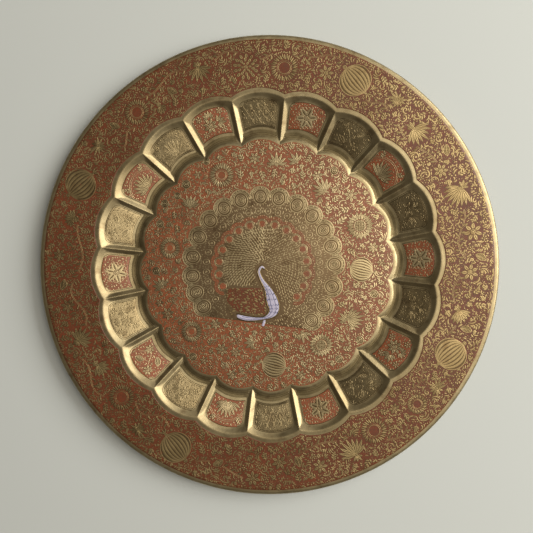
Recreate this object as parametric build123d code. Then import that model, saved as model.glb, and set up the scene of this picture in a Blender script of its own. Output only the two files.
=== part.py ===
from build123d import *
import os
from math import atan, cos, degrees, radians, sin, sqrt

# A round charger pressed from one brass sheet. A broad raised rim surrounds a ring of scalloped
# wells whose floors slope down inwards, to the foot of a low step round a gently domed medallion.
# The ornament is chased brass; its cut-back ground is filled level with red lacquer, and the bird
# in the middle with enamel.
# Millimetres. Z is up, and z = 0 is the plane under the wells' inner ends, which it rests on.
# Angles run anticlockwise from +X.

# Driving dimensions
PLATE_RADIUS = 178.0
SHEET = 1.2
FILL_DEPTH = 0.3
WELL_COUNT = 20
FIRST_WELL_ANGLE = 2.6

# Heights of the upper surface
FLOOR_TOP = SHEET
LIP_TOP = 10.3
MEDALLION_EDGE_TOP = 3.4
MEDALLION_TOP = 4.9
ABOVE_ALL = 15.0

# The floor of a well is level out to the bend, then rises outwards; ridges stand on that slope
FLOOR_BEND = 105.0
FLOOR_SLOPE = 0.26
RIDGE_HEIGHT = 2.2

# Lobed outlines: distance from the plate's centre to each lobe's middle, and to the cusps between
LIP_INNER = (134.2, 129.8)
LIP_OUTER = (137.4, 132.6)
MEDALLION_EDGE = (101.0, 96.6)
MEDALLION_FIELD = (99.8, 95.4)

# The rim's border and its turned-down edge
RIM_FIELD_RADIUS = 174.2
EDGE_CURVE = 2.6
EDGE_BOTTOM = 5.6

# Well walls, measured in plan
CREST_HALF_WIDTH = 0.5
RIDGE_HALF_BASE = 3.1
OUTER_WALL_RUN = 3.0
STEP_RUN = 1.4
WELL_CORNER = 2.4
LOFT_EXCESS = 0.3

# The lacquered field of a well, measured in from the medallion's edge, the lip and the ridge lines
FIELD_INNER = 8.2
FIELD_OUTER = 4.6
FIELD_SIDE = 4.6

# The fan of the bird's tail, and the red eyes of its feathers
FAN_CENTRE = (-2.6, -1.8)
FAN_RADIUS = 64.0
EYE_RING_RADIUS = 34.4
EYE_RADIUS = 2.0
EYE_COUNT = 16
EYE_FIRST = -40.0
EYE_STEP = 16.3

# The large motifs of the rim: angle and distance, then what shapes each
MELONS = ((64.2, 157.2), (156.3, 158.0), (243.5, 158.3), (334.5, 156.4))
STARBURSTS = ((51.3, 161.5), (144.3, 160.7), (231.9, 162.6), (324.3, 160.7))
WREATHS = ((84.6, 152.6), (130.0, 155.7), (222.3, 152.8), (303.3, 151.6))
WREATH_CORE = 4.6
MELON_RADIUS = 12.0
# angle, distance, first and last direction of the petals, how many, how long
PALMETTES = ((21.7, 160.3, 8, -112, 7, 15.5), (43.0, 153.5, 62, -58, 7, 14.0),
             (108.9, 162.0, -25, -155, 6, 12.5), (166.2, 154.0, 20, 165, 6, 9.0),
             (201.8, 158.5, 10, -140, 7, 12.0),
             (210.4, 153.5, 140, 262, 6, 10.5), (295.5, 161.5, -12, -152, 7, 14.0),
             (347.0, 150.5, -25, 92, 6, 11.0))
FLOWERS = ((9.3, 159.5), (28.5, 151.5), (72.6, 154.5), (95.7, 153.8), (118.0, 154.0), (177.0, 162.0),
           (191.5, 158.5), (256.3, 157.5), (266.4, 163.5), (273.9, 152.5), (285.2, 160.5), (315.0, 155.0),
           (358.2, 155.3))

# The motifs of the medallion, by place: x, y, and the size of each
MEDALLION_MELONS = ((74.0, -3.0), (6.0, -78.0))
MEDALLION_WREATHS = ((-35.0, 70.0, 0.85), (73.0, 31.0, 1.0), (43.0, -62.0, 0.9), (-59.0, -52.0, 0.82),
                     (-77.0, 14.0, 0.8))
MEDALLION_FLOWERS = ((8.0, 80.0), (-60.0, 46.0), (-82.0, -17.0), (-33.0, -66.0), (26.0, -84.0),
                     (46.0, 60.0), (68.0, 55.0), (66.0, -42.0), (26.0, 80.0), (-10.0, -58.0))

SECTOR = 360 / WELL_COUNT
HALF_SECTOR = SECTOR / 2
WELL_ANGLES = [FIRST_WELL_ANGLE + SECTOR * turn for turn in range(WELL_COUNT)]


def at(radius, angle):
    """The point at a distance and direction from the plate's centre."""
    return (radius * cos(radians(angle)), radius * sin(radians(angle)))


def spun(shape, angle):
    """The shape turned about the plate's axis."""
    return Rot(0, 0, angle) * shape


# ---------------------------------------------------------------- lobes and wells

def lobe_arc(outline):
    """Centre distance and radius of the arc through a lobe's middle and its two cusps."""
    middle, cusp = outline
    cusp_x, cusp_y = at(cusp, HALF_SECTOR)
    rise = middle - cusp_x
    radius = (rise * rise + cusp_y * cusp_y) / (2 * rise)
    return middle - radius, radius


def reach(outline, angle, grow=0.0):
    """Distance from the plate's centre to a lobe's arc, grown outwards, along a direction."""
    centre, radius = lobe_arc(outline)
    across = centre * sin(radians(angle))
    return centre * cos(radians(angle)) + sqrt((radius + grow) ** 2 - across ** 2)


def lobed_wire(outline, grow=0.0, level=0.0):
    """The closed line of twenty lobes at one height."""
    arcs = []
    for angle in WELL_ANGLES:
        points = []
        for side in (-HALF_SECTOR, 0, HALF_SECTOR):
            x, y = at(reach(outline, side, grow), angle + side)
            points.append((x, y, level))
        arcs.append(ThreePointArc(*points))
    return Wire([arc.edge() for arc in arcs])


def lobed_block(outline, low, high, grow_low=0.0, grow_high=0.0):
    """A block with a lobed outline that may widen or narrow between two heights."""
    sections = [lobed_wire(outline, grow_low, low), lobed_wire(outline, grow_high, high)]
    return Solid.make_loft(sections, ruled=True)


def wall_corner(outline, grow, inset, side):
    """Where a lobe's arc meets the line that runs beside a ridge, for a well lying along +X."""
    centre, radius = lobe_arc(outline)
    radius += grow
    direction = (cos(radians(HALF_SECTOR)), sin(radians(HALF_SECTOR)))
    start = (inset * direction[1], -inset * direction[0])
    along = (start[0] - centre) * direction[0] + start[1] * direction[1]
    gap = (start[0] - centre) ** 2 + start[1] ** 2 - radius ** 2
    run = -along + sqrt(along ** 2 - gap)
    return (start[0] + run * direction[0], side * (start[1] + run * direction[1]))


def floor_plane(x):
    """Height of the sloping floor's plane at a distance along the well's own axis."""
    return FLOOR_TOP + FLOOR_SLOPE * (x - FLOOR_BEND)


def well_wire(inner_grow, outer_grow, inset, level):
    """A well's outline along +X: a medallion lobe, two ridge sides and an outer lobe.

    The level is a function of the distance along +X."""
    inner = [wall_corner(MEDALLION_EDGE, inner_grow, inset, side) for side in (-1, 1)]
    outer = [wall_corner(LIP_INNER, outer_grow, inset, side) for side in (-1, 1)]
    inner_middle = (MEDALLION_EDGE[0] + inner_grow, 0)
    outer_middle = (LIP_INNER[0] + outer_grow, 0)
    with_level = [[(x, y, level(x)) for x, y in points] for points in (
        (inner[0], inner_middle, inner[1]), (inner[1], outer[1]),
        (outer[1], outer_middle, outer[0]), (outer[0], inner[0]))]
    edges = [ThreePointArc(*with_level[0]), Line(*with_level[1]),
             ThreePointArc(*with_level[2]), Line(*with_level[3])]
    return Wire([edge.edge() for edge in edges])


def rounded_uprights(block, radius):
    """The block with its four standing edges rounded."""
    standing = [edge for edge in block.edges() if abs(edge.tangent_at(0.5).Z) > 0.4]
    return fillet(standing, radius)


def medallion_wall(level):
    """How far the step has run outwards from the medallion's edge at a height."""
    return STEP_RUN * (MEDALLION_EDGE_TOP - level) / (MEDALLION_EDGE_TOP - FLOOR_TOP)


def lip_wall(level):
    """How far the outer wall has run inwards from the lip at a height, negative inwards."""
    foot = floor_plane(LIP_INNER[0] - OUTER_WALL_RUN)
    return -OUTER_WALL_RUN * (LIP_TOP - level) / (LIP_TOP - foot)


def ridge_side(height):
    """Half the thickness of a ridge at a height above the floor's plane."""
    return RIDGE_HALF_BASE - (RIDGE_HALF_BASE - CREST_HALF_WIDTH) * height / RIDGE_HEIGHT


def well_section(height, grow, drop=0.0):
    """A well's outline at a height above the floor's plane, grown all round and lowered."""
    inner = medallion_wall(floor_plane(MEDALLION_EDGE[0]) + height) - grow
    outer = lip_wall(floor_plane(LIP_INNER[0] - OUTER_WALL_RUN) + height) + grow
    return well_wire(inner, outer, ridge_side(height) - grow, lambda x: floor_plane(x) + height - drop)


def above(level):
    """All the space round one well above a height."""
    return Pos(MIDWAY, 0, level) * Box(80, 80, ABOVE_ALL, align=(Align.CENTER, Align.CENTER, Align.MIN))


def well_block(grow, drop, foot):
    """The hollow of one well, grown by a sheet's thickness or not, cut off level at its foot."""
    sections = [well_section(0, grow, drop), well_section(RIDGE_HEIGHT + LOFT_EXCESS, grow)]
    return rounded_uprights(Solid.make_loft(sections, ruled=True), WELL_CORNER) & above(foot)


def well_pocket():
    return well_block(0, 0, FLOOR_TOP)


def well_shell():
    """The outside of one well, a sheet's thickness larger all round."""
    return well_block(SHEET, SHEET, 0)


# ---------------------------------------------------------------- turned surfaces

def turned(points):
    """A ring or disc turned from a closed outline in radius and height."""
    outline = Polyline(*[(radius, 0, height) for radius, height in points], close=True)
    return Solid.revolve(Face(Wire(outline.edges())), 360, Axis.Z)


def dome(drop, radius, bottom):
    """The space under the medallion's dome, lowered by a drop, out to a radius."""
    rise = MEDALLION_TOP - MEDALLION_EDGE_TOP
    edge = MEDALLION_EDGE[0]
    sphere_radius = (rise * rise + edge * edge) / (2 * rise)
    centre_height = MEDALLION_TOP - drop - sphere_radius
    lowest = centre_height + sqrt(sphere_radius ** 2 - radius ** 2)
    half = radius / 2
    middle = centre_height + sqrt(sphere_radius ** 2 - half ** 2)
    arc = ThreePointArc((0, 0, MEDALLION_TOP - drop), (half, 0, middle), (radius, 0, lowest))
    sides = Polyline((radius, 0, lowest), (radius, 0, bottom), (0, 0, bottom),
                     (0, 0, MEDALLION_TOP - drop))
    outline = Face(Wire([arc.edge(), *sides.edges()]))
    return Solid.revolve(outline, 360, Axis.Z)


MIDWAY = (MEDALLION_EDGE[0] + LIP_INNER[0]) / 2
CURVE_START = PLATE_RADIUS - EDGE_CURVE


def rim_block():
    """Everything under the rim's upper surface, with the edge turned down in a quarter round."""
    top = LIP_TOP
    bend = sin(radians(45)) * EDGE_CURVE
    over = Line((MIDWAY, 0, top), (CURVE_START, 0, top))
    curve = ThreePointArc((CURVE_START, 0, top),
                          (CURVE_START + bend, 0, top - EDGE_CURVE + bend),
                          (PLATE_RADIUS, 0, top - EDGE_CURVE))
    down = Polyline((PLATE_RADIUS, 0, top - EDGE_CURVE), (PLATE_RADIUS, 0, EDGE_BOTTOM),
                    (PLATE_RADIUS - SHEET, 0, EDGE_BOTTOM), (PLATE_RADIUS - SHEET, 0, 0),
                    (MIDWAY, 0, 0), (MIDWAY, 0, top))
    outline = Face(Wire([over.edge(), curve.edge(), *down.edges()]))
    return Solid.revolve(outline, 360, Axis.Z)


def rim_hollow():
    """Everything under the rim's lower surface."""
    top = LIP_TOP - SHEET
    inner_curve = EDGE_CURVE - SHEET
    bend = sin(radians(45)) * inner_curve
    inside = PLATE_RADIUS - SHEET
    over = Line((MIDWAY, 0, top), (CURVE_START, 0, top))
    curve = ThreePointArc((CURVE_START, 0, top),
                          (CURVE_START + bend, 0, top - inner_curve + bend),
                          (inside, 0, top - inner_curve))
    down = Polyline((inside, 0, top - inner_curve), (inside, 0, -SHEET),
                    (MIDWAY, 0, -SHEET), (MIDWAY, 0, top))
    outline = Face(Wire([over.edge(), curve.edge(), *down.edges()]))
    return Solid.revolve(outline, 360, Axis.Z)


def crest_level(radius):
    """Height of the ridges' crests at a distance from the plate's centre."""
    return floor_plane(radius * cos(radians(HALF_SECTOR))) + RIDGE_HEIGHT


def ridge_stock(drop):
    """The space that the ridges are cut from, between the medallion and the rim."""
    inner, outer = MEDALLION_EDGE[1] - 4, MIDWAY + 1
    spare = 0.9 - drop
    return turned([(inner, -drop), (outer, -drop), (outer, crest_level(outer) + spare),
                   (inner, crest_level(inner) + spare)])


def trough(grow, drop):
    """The space over the ridges, between the medallion and the lip."""
    low, high = 0.3, ABOVE_ALL
    inner, outer = MEDALLION_EDGE[1] - 4, LIP_INNER[0] + 6
    over = turned([(inner, crest_level(inner) - drop), (outer, crest_level(outer) - drop),
                   (outer, high), (inner, high)])
    over = over & lobed_block(LIP_INNER, low, high, lip_wall(low) + grow, lip_wall(high) + grow)
    return over - lobed_block(MEDALLION_EDGE, -drop, LIP_TOP, medallion_wall(-drop) - grow,
                              medallion_wall(LIP_TOP) - grow)


def pressed_sheet():
    """The plate before chasing: its upper form less its lower form."""
    upper = rim_block() + ridge_stock(0) + dome(0, MIDWAY, 0) - trough(0, 0)
    lower = rim_hollow() + ridge_stock(SHEET) + dome(SHEET, MIDWAY, -SHEET) - trough(SHEET, SHEET)
    for angle in WELL_ANGLES:
        upper = upper - spun(well_pocket(), angle)
        lower = lower - spun(well_shell(), angle)
    return upper - lower


# ---------------------------------------------------------------- chased motifs

def set_out(sketch, radius, angle):
    """A motif drawn with +Y as outwards, set at a distance and direction on the plate."""
    return Rot(0, 0, angle - 90) * Pos(0, radius) * sketch


def upright(sketch):
    """A motif's outline carried up through the whole height of the plate."""
    return extrude(sketch, ABOVE_ALL)


def petal(length, width):
    """A pointed oval lying along +Y, drawn with two arcs."""
    right = ThreePointArc((0, -length / 2), (width / 2, 0), (0, length / 2))
    left = ThreePointArc((0, length / 2), (-width / 2, 0), (0, -length / 2))
    return make_face([right, left])


def petals(count, length, width, clear):
    """Pointed petals spaced evenly round a centre."""
    middle = clear + length / 2
    return [Rot(0, 0, 360 / count * turn) * Pos(0, middle) * petal(length, width)
            for turn in range(count)]


def joined(shapes):
    whole = shapes[0]
    for shape in shapes[1:]:
        whole = whole + shape
    return whole


def melon(size=1.0):
    """The outline of a round fruit; its ribs are only chased."""
    return Circle(MELON_RADIUS * size)


def starburst():
    return joined([Circle(1.8), *petals(8, 8.0, 2.1, clear=0.6)])


def wreath(size=1.0):
    """A ring of short leaves about an open core."""
    leaves = petals(12, 3.6 * size, 3.4 * size, clear=7.4 * size)
    return joined([Circle(8.6 * size), *leaves]) - Circle(WREATH_CORE * size)


def palmette(first, last, count, length):
    """A fan of petals from one root, between two directions."""
    step = (last - first) / (count - 1)
    fan = [Rot(0, 0, first + step * turn - 90) * Pos(0, length / 2) * petal(length, 2.6)
           for turn in range(count)]
    return joined([Circle(2.4), *fan])


def flower(size=1.0):
    return joined([Circle(2.4 * size), *petals(6, 5.4 * size, 3.6 * size, clear=0.8)])


def rim_motifs():
    """The large chased motifs that stand in the rim's red ground."""
    found = [set_out(melon(), far, angle) for angle, far in MELONS]
    found += [set_out(starburst(), far, angle) for angle, far in STARBURSTS]
    found += [set_out(wreath(), far, angle) for angle, far in WREATHS]
    found += [set_out(flower(), far, angle) for angle, far in FLOWERS]
    for angle, far, first, last, count, length in PALMETTES:
        found.append(set_out(palmette(first, last, count, length), far, angle))
    return [upright(motif) for motif in found]


def wreath_cores():
    return [upright(set_out(Circle(WREATH_CORE), far, angle)) for angle, far in WREATHS]


def medallion_motifs():
    """The smaller motifs round the bird's fan."""
    found = [Pos(x, y) * melon(0.75) for x, y in MEDALLION_MELONS]
    found += [Pos(x, y) * wreath(size) for x, y, size in MEDALLION_WREATHS]
    found += [Pos(x, y) * flower(0.85) for x, y in MEDALLION_FLOWERS]
    return [upright(motif) for motif in found]


def bird_body():
    """Head, curved neck, breast and the two-banded wing end of the bird, facing right."""
    back = Spline((-4.2, -1.0), (-6.0, -5.6), (-2.6, -14.0), (0.4, -29.0), (-3.0, -38.0))
    wing = Spline((-3.0, -38.0), (-13.0, -38.6), (-23.4, -38.2))
    tip = Line((-23.4, -38.2), (-22.6, -42.6))
    under = Spline((-22.6, -42.6), (-8.0, -42.8), (5.0, -41.0), (10.0, -32.0), (7.6, -23.6),
                   (1.4, -14.6), (-2.4, -6.4), (1.8, -4.0))
    crest = Spline((1.8, -4.0), (0.0, -0.6), (-4.2, -1.0))
    return make_face([back, wing, tip, under, crest])


def bird_wing():
    """The blue feathers that lie along the breast."""
    outline = Spline((1.4, -22.0), (2.6, -31.0), (2.0, -37.4), (6.4, -37.0), (8.0, -31.0), (1.4, -22.0))
    return make_face(outline)


# ---------------------------------------------------------------- fills

def medallion_skin():
    """A layer as thick as the fill, lying under the dome's surface."""
    return dome(0, MEDALLION_FIELD[0], MEDALLION_EDGE_TOP - 1) - dome(FILL_DEPTH, MIDWAY, 0)


def rim_skin():
    """A layer as thick as the fill, lying under the rim's surface."""
    bed = LIP_TOP - FILL_DEPTH
    return turned([(LIP_INNER[1], LIP_TOP), (RIM_FIELD_RADIUS, LIP_TOP), (RIM_FIELD_RADIUS, bed),
                   (LIP_INNER[1], bed)])


def rim_lacquer():
    ground = rim_skin() - lobed_block(LIP_OUTER, 0, ABOVE_ALL)
    return ground - rim_motifs() - wreath_cores()


def rim_blossom_lacquer():
    """The round red centres of the wreaths."""
    return rim_skin() & joined(wreath_cores())


def medallion_lacquer():
    field = medallion_skin() & lobed_block(MEDALLION_FIELD, 0, ABOVE_ALL)
    fan = upright(Pos(*FAN_CENTRE) * Circle(FAN_RADIUS))
    return field - fan - medallion_motifs()


def feather_eye_lacquer():
    """The red eyes that ring the fan, open at the bottom."""
    places = [EYE_FIRST + EYE_STEP * turn for turn in range(EYE_COUNT)]
    eyes = [upright(Pos(*FAN_CENTRE) * Pos(*at(EYE_RING_RADIUS, angle)) * Circle(EYE_RADIUS))
            for angle in places]
    return medallion_skin() & joined(eyes)


def train_lacquer():
    """The red ground beside the bird, under the left half of its fan."""
    top = Line((-30.6, -18.0), (-3.6, -18.0))
    beside_bird = Spline((-3.6, -18.0), (-1.8, -27.0), (-5.2, -36.2))
    bottom = Line((-5.2, -36.2), (-22.5, -36.4))
    outer = Spline((-22.5, -36.4), (-29.8, -31.0), (-32.4, -24.0), (-30.6, -18.0))
    return medallion_skin() & upright(make_face([top, beside_bird, bottom, outer]))


def well_field(angle, thickness):
    """The red field of one well, round a chased flower, standing on the bed of its recess."""
    floor = Face(well_wire(FIELD_INNER, -FIELD_OUTER, FIELD_SIDE, lambda x: 0.0))
    blossom = Pos(119.5, 0) * joined([Circle(2.6), *petals(6, 7.0, 5.0, clear=1.4)])
    ground = Pos(-FLOOR_BEND, 0, -FILL_DEPTH) * extrude(floor - blossom, thickness)
    tilt = degrees(atan(FLOOR_SLOPE))
    return spun(Pos(FLOOR_BEND, 0, FLOOR_TOP) * Rot(0, -tilt, 0) * ground, angle)


def bird_enamel():
    pale = medallion_skin() & upright(bird_body() - bird_wing())
    blue = medallion_skin() & upright(bird_wing())
    return pale, blue


def fills():
    """Every filled recess, by name."""
    pale, blue = bird_enamel()
    found = {
        "rim_lacquer": rim_lacquer(),
        "rim_blossom_lacquer": rim_blossom_lacquer(),
        "medallion_lacquer": medallion_lacquer(),
        "feather_eye_lacquer": feather_eye_lacquer(),
        "train_lacquer": train_lacquer(),
        "peacock_pale_enamel": pale,
        "peacock_blue_enamel": blue,
    }
    for number, angle in enumerate(WELL_ANGLES[::2], start=1):
        found[f"well_lacquer_{number:02d}"] = well_field(angle, FILL_DEPTH)
    return found


os.makedirs("parts", exist_ok=True)
inlays = fills()
recesses = [inlay for name, inlay in inlays.items() if not name.startswith("well")]
recesses += [well_field(angle, 3 * FILL_DEPTH) for angle in WELL_ANGLES[::2]]
body = pressed_sheet() - recesses
export_step(body, "parts/plate_body.step")
for name, inlay in inlays.items():
    export_step(inlay, f"parts/{name}.step")
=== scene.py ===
import math
import random

import bpy
import numpy as np
from mathutils import Matrix, Vector

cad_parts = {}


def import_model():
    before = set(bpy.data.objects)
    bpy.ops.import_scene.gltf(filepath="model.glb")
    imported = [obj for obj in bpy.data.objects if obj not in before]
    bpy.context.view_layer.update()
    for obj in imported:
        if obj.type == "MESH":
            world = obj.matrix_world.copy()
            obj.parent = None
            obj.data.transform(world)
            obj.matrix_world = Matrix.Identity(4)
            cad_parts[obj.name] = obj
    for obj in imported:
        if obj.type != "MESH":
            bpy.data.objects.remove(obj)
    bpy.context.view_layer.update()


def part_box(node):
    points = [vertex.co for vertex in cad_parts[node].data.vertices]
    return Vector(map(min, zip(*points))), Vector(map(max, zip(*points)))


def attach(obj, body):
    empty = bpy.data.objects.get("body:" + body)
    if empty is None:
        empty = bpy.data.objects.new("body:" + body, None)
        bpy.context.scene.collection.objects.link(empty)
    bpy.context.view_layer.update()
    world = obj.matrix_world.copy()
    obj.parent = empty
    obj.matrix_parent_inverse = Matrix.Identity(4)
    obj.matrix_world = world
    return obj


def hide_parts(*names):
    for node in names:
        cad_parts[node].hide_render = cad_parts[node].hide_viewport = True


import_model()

# The visual model of a pressed brass charger. Lengths are millimetres in the plate's own frame and
# become metres in add_piece. Angles run anticlockwise from +X, in degrees.
MM = 0.001
RNG = random.Random(20)

# ---------------- sizes from the frame

PLATE_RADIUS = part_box("plate_body")[1].x / MM
FIELD_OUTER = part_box("rim_lacquer")[1].x / MM

WELL_COUNT = 20
SECTOR = 360 / WELL_COUNT
HALF_SECTOR = SECTOR / 2
FIRST_WELL = 2.6
WELL_ANGLES = [FIRST_WELL + SECTOR * well for well in range(WELL_COUNT)]
# Distance of a well's middle from the plate's, and a reach from there that takes in its whole floor
WELL_MIDDLE = 118.6
WELL_REACH = 22

# Heights of the upper face (the rim is level with its lip), and the turned-down edge
SHEET = 1.2
LIP = 10.3
DOME_EDGE = 2.1
DOME_TOP = 4.9
EDGE_CURVE = 2.6
EDGE_BOTTOM = 5.6
CURVE_START = PLATE_RADIUS - EDGE_CURVE
EDGE_ROUNDING = ((0.0, 0.8), (0.08, 0.35), (0.3, 0.08))

# Lobed outlines: reach of each lobe's middle, and of the cusps between
LIP_INNER = (134.2, 129.8)
LIP_OUTER = (137.2, 132.4)
MEDALLION_EDGE = (101.0, 96.6)
MEDALLION_FIELD = (99.7, 95.2)

# The floor of a well is level out to the bend, then rises outwards; ridges stand on that slope
FLOOR_BEND = 104.0
FLOOR_SLOPE = 0.27
RIDGE_HEIGHT = 2.2

# Where each wall has reached the floor, in plan, from its own edge, and where the red fields begin
RIDGE_RUN = 3.1
LIP_RUN = 3.4
STEP_RUN = 2.4
STEP_START = -0.6
FIELD_START = 7.2

# How softly one height passes into the next
FLOOR_BLEND = 0.8
RIDGE_BLEND = 0.5
STEP_BLEND = 0.7
LIP_BLEND = 0.6
CREST_DROP = 0.25

# The fan of the bird's tail
FAN_CENTRE = -2.6 - 1.8j
FEATHER_RING = 55.8
FEATHER_ANGLES = (-47, -32, -15, 3, 17.7, 32, 46.6, 61.4, 77, 92, 108, 123, 138, 154, 171, 186.5, 200, 213)
FEATHER_REACH = 8.4
RED_EYE_RING = 34.4
RED_EYES = [-40.0 + 16.3 * turn for turn in range(16)]

# Heights of what lies on the sheet: fills, the dark beds of the chasing, and its standing lines
FILL = 0.10
BED = 0.05
LINE = 0.09


# ---------------- the pressed surface

def lobe_arc(outline):
    """Centre distance and radius of the arc through a lobe's middle and its cusps."""
    middle, cusp = outline
    half = math.radians(HALF_SECTOR)
    rise = middle - cusp * math.cos(half)
    radius = (rise * rise + (cusp * math.sin(half)) ** 2) / (2 * rise)
    return middle - radius, radius


def reach(outline, local, grow=0.0):
    """Distance from the plate's centre to a lobed outline; local is degrees from a lobe's middle."""
    centre, radius = lobe_arc(outline)
    angle = np.radians(local)
    across = centre * np.sin(angle)
    return centre * np.cos(angle) + np.sqrt((radius + grow) ** 2 - across ** 2)


def sector_frame(x, y):
    """Distance from the centre, and degrees from the middle of the nearest well."""
    far = np.hypot(x, y)
    turn = (np.degrees(np.arctan2(y, x)) - FIRST_WELL) / SECTOR
    return far, (turn - np.round(turn)) * SECTOR


def beyond(outline, far, local):
    """Distance outside a lobed outline, negative within."""
    centre, radius = lobe_arc(outline)
    angle = np.radians(local)
    return np.hypot(np.maximum(far * np.cos(angle) - centre, 0.0), far * np.sin(angle)) - radius


def ridge_gap(far, local):
    """Distance from the nearest ridge's crest line."""
    return far * np.sin(np.radians(HALF_SECTOR - np.abs(local)))


def rolled_off(t, start):
    """A rounded start, then a straight run that passes 1 at t = 1."""
    t = np.maximum(t, 0.0)
    slope = 1.0 / (1.0 - start / 2)
    return np.where(t < start, slope * t * t / (2 * start), slope * (t - start / 2))


def smooth_max(a, b, blend):
    """The higher of two heights, with a soft seam."""
    share = np.clip(0.5 + 0.5 * (a - b) / blend, 0.0, 1.0)
    return b + (a - b) * share + blend * share * (1.0 - share) * 0.5


def waviness(x, y):
    """The slow unevenness that a pressed and hand-chased sheet keeps."""
    slow = np.sin(x * 0.043 + 1.3) * np.cos(y * 0.037 - 0.4) + 0.6 * np.sin(x * 0.081 - y * 0.067 + 2.1)
    quick = np.sin(x * 0.31 + 0.7 * np.sin(y * 0.23)) * np.sin(y * 0.27 + 0.9 * np.sin(x * 0.19))
    return 0.10 * slow + 0.015 * quick


def surface(x, y, under=False):
    """Height of the sheet's upper face over a point, or of its lower face."""
    far, local = sector_frame(x, y)
    shift = 0.5 if under else 0.0
    gap = ridge_gap(far, local) + shift
    inward = beyond(MEDALLION_EDGE, far, local) + shift
    outward = -beyond(LIP_INNER, far, local) + shift * 1.3

    plane = FLOOR_SLOPE * (far * np.cos(np.radians(local)) - FLOOR_BEND)
    ridge = plane + RIDGE_HEIGHT * (1.0 - rolled_off((gap - 0.05) / (RIDGE_RUN - 0.05), 0.14))
    ridge = np.minimum(ridge, LIP - SHEET - CREST_DROP)
    floor = smooth_max(smooth_max(plane, 0.0, FLOOR_BLEND), ridge, RIDGE_BLEND)

    dome = (DOME_TOP - DOME_EDGE) * (1.0 - (far / MEDALLION_EDGE[0]) ** 2) + DOME_EDGE - SHEET
    step = (DOME_EDGE - SHEET) * (1.0 - rolled_off((inward - STEP_START) / STEP_RUN, 0.35))
    inner = np.where(inward < STEP_START, dome, step)

    foot = FLOOR_SLOPE * (LIP_INNER[0] - LIP_RUN - FLOOR_BEND)
    brow = 0.04 * np.exp(-((outward + 0.7) / 0.6) ** 2)
    wall = LIP - SHEET - (LIP - SHEET - foot) * rolled_off(outward / LIP_RUN, 0.3)
    outer = np.where(outward < 0.0, LIP - SHEET, wall) + brow

    in_wells = smooth_max(smooth_max(floor, inner, STEP_BLEND), outer, LIP_BLEND)
    height = np.where(inward < -2.0, inner, np.where(outward < -2.0, outer, in_wells))
    calm = np.clip((PLATE_RADIUS - 4.0 - far) / 6.0, 0.0, 1.0)
    return height + waviness(x, y) * calm + (0.0 if under else SHEET)


# ---------------- mesh helpers

def add_piece(name, points, faces, material):
    """A smooth mesh piece from points in millimetres, riding on the plate."""
    mesh = bpy.data.meshes.new(name)
    mesh.from_pydata((np.asarray(points) * MM).tolist(), [], faces)
    mesh.update()
    piece = bpy.data.objects.new(name, mesh)
    bpy.context.scene.collection.objects.link(piece)
    mesh.materials.append(material)
    mesh.polygons.foreach_set("use_smooth", [True] * len(mesh.polygons))
    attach(piece, "root")
    return piece


def grid_faces(rows, columns, closed, first=0):
    """Quads between rows of points; closed joins the last column to the first."""
    row = np.arange(rows - 1)[:, None] * columns + first
    column = np.arange(columns if closed else columns - 1)[None, :]
    right = (column + 1) % columns
    quads = np.stack([row + column, row + columns + column, row + columns + right, row + right], axis=-1)
    return quads.reshape(-1, 4).tolist()


def polar(far, angle):
    return far * np.exp(1j * np.radians(angle))


def spoke(step, count):
    """The direction of one of a count of even spokes."""
    return np.exp(2j * math.pi * step / count)


def mark(piece, slot, *nodes):
    """Hides the solids whose place a piece takes. Neither the piece nor its material slot is used."""
    if nodes:
        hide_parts(*nodes)


# ---------------- the sheet, in columns that follow the ridges

RIDGE_COLUMNS = (0.0, 0.2, 0.45, 0.8, 1.25, 1.75, 2.2, 2.6, 3.0, 3.5, 4.3)
MIDDLE_COLUMNS = (0.14, 0.3, 0.47, 0.65, 0.82, 1.0)


def column_locals(far):
    """Degrees from a well's middle of every column in half a sector, at one distance."""
    near = [HALF_SECTOR - math.degrees(math.asin(gap / far)) for gap in RIDGE_COLUMNS]
    rest = [near[-1] * (1.0 - share) for share in MIDDLE_COLUMNS]
    return near + rest


def row_of_points(outline_reach):
    """One ring of (far, angle) whose distance is a function of degrees from a well's middle."""
    low, high = MEDALLION_EDGE[1] + 2, LIP_INNER[1] - 1
    half = []
    for index in range(len(RIDGE_COLUMNS) + len(MIDDLE_COLUMNS)):
        far = 110.0
        for _ in range(4):
            local = column_locals(min(max(far, low), high))[index]
            far = float(outline_reach(local))
        half.append((far, local))
    sector = [(far, -local) for far, local in half[:-1]] + half[:0:-1]
    ring = [(far, centre + local) for centre in WELL_ANGLES for far, local in sector]
    return np.array(ring)


def blended(outline, share, radius):
    """A reach that is round at small shares and follows a lobed outline at share 1."""
    lobed = share ** 3.0
    return lambda local: share * (lobed * reach(outline, local) + (1 - lobed) * radius)


def between(inner, outer, share):
    return lambda local: inner(local) + (outer(local) - inner(local)) * share


def offset_rows(outline, gaps):
    """Reach functions that run beside a lobed outline."""
    return [lambda local, gap=gap: reach(outline, local, gap) for gap in gaps]


# How far beyond each outline the sheet's rows run: close where it bends
STEP_ROWS = (-1.4, -0.8, -0.4, -0.1, 0.1, 0.3, 0.6, 0.9, 1.2, 1.5, 1.8, 2.1, 2.5, 3.0, 3.6, 4.3, 5.1, 6.0,
             7.0, 8.0)
LIP_ROWS = (-4.5, -4.0, -3.5, -3.0, -2.5, -2.0, -1.5, -1.0, -0.65, -0.3, 0.0, 0.3, 0.6, 0.9, 1.3, 2.0, 3.0)


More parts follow.
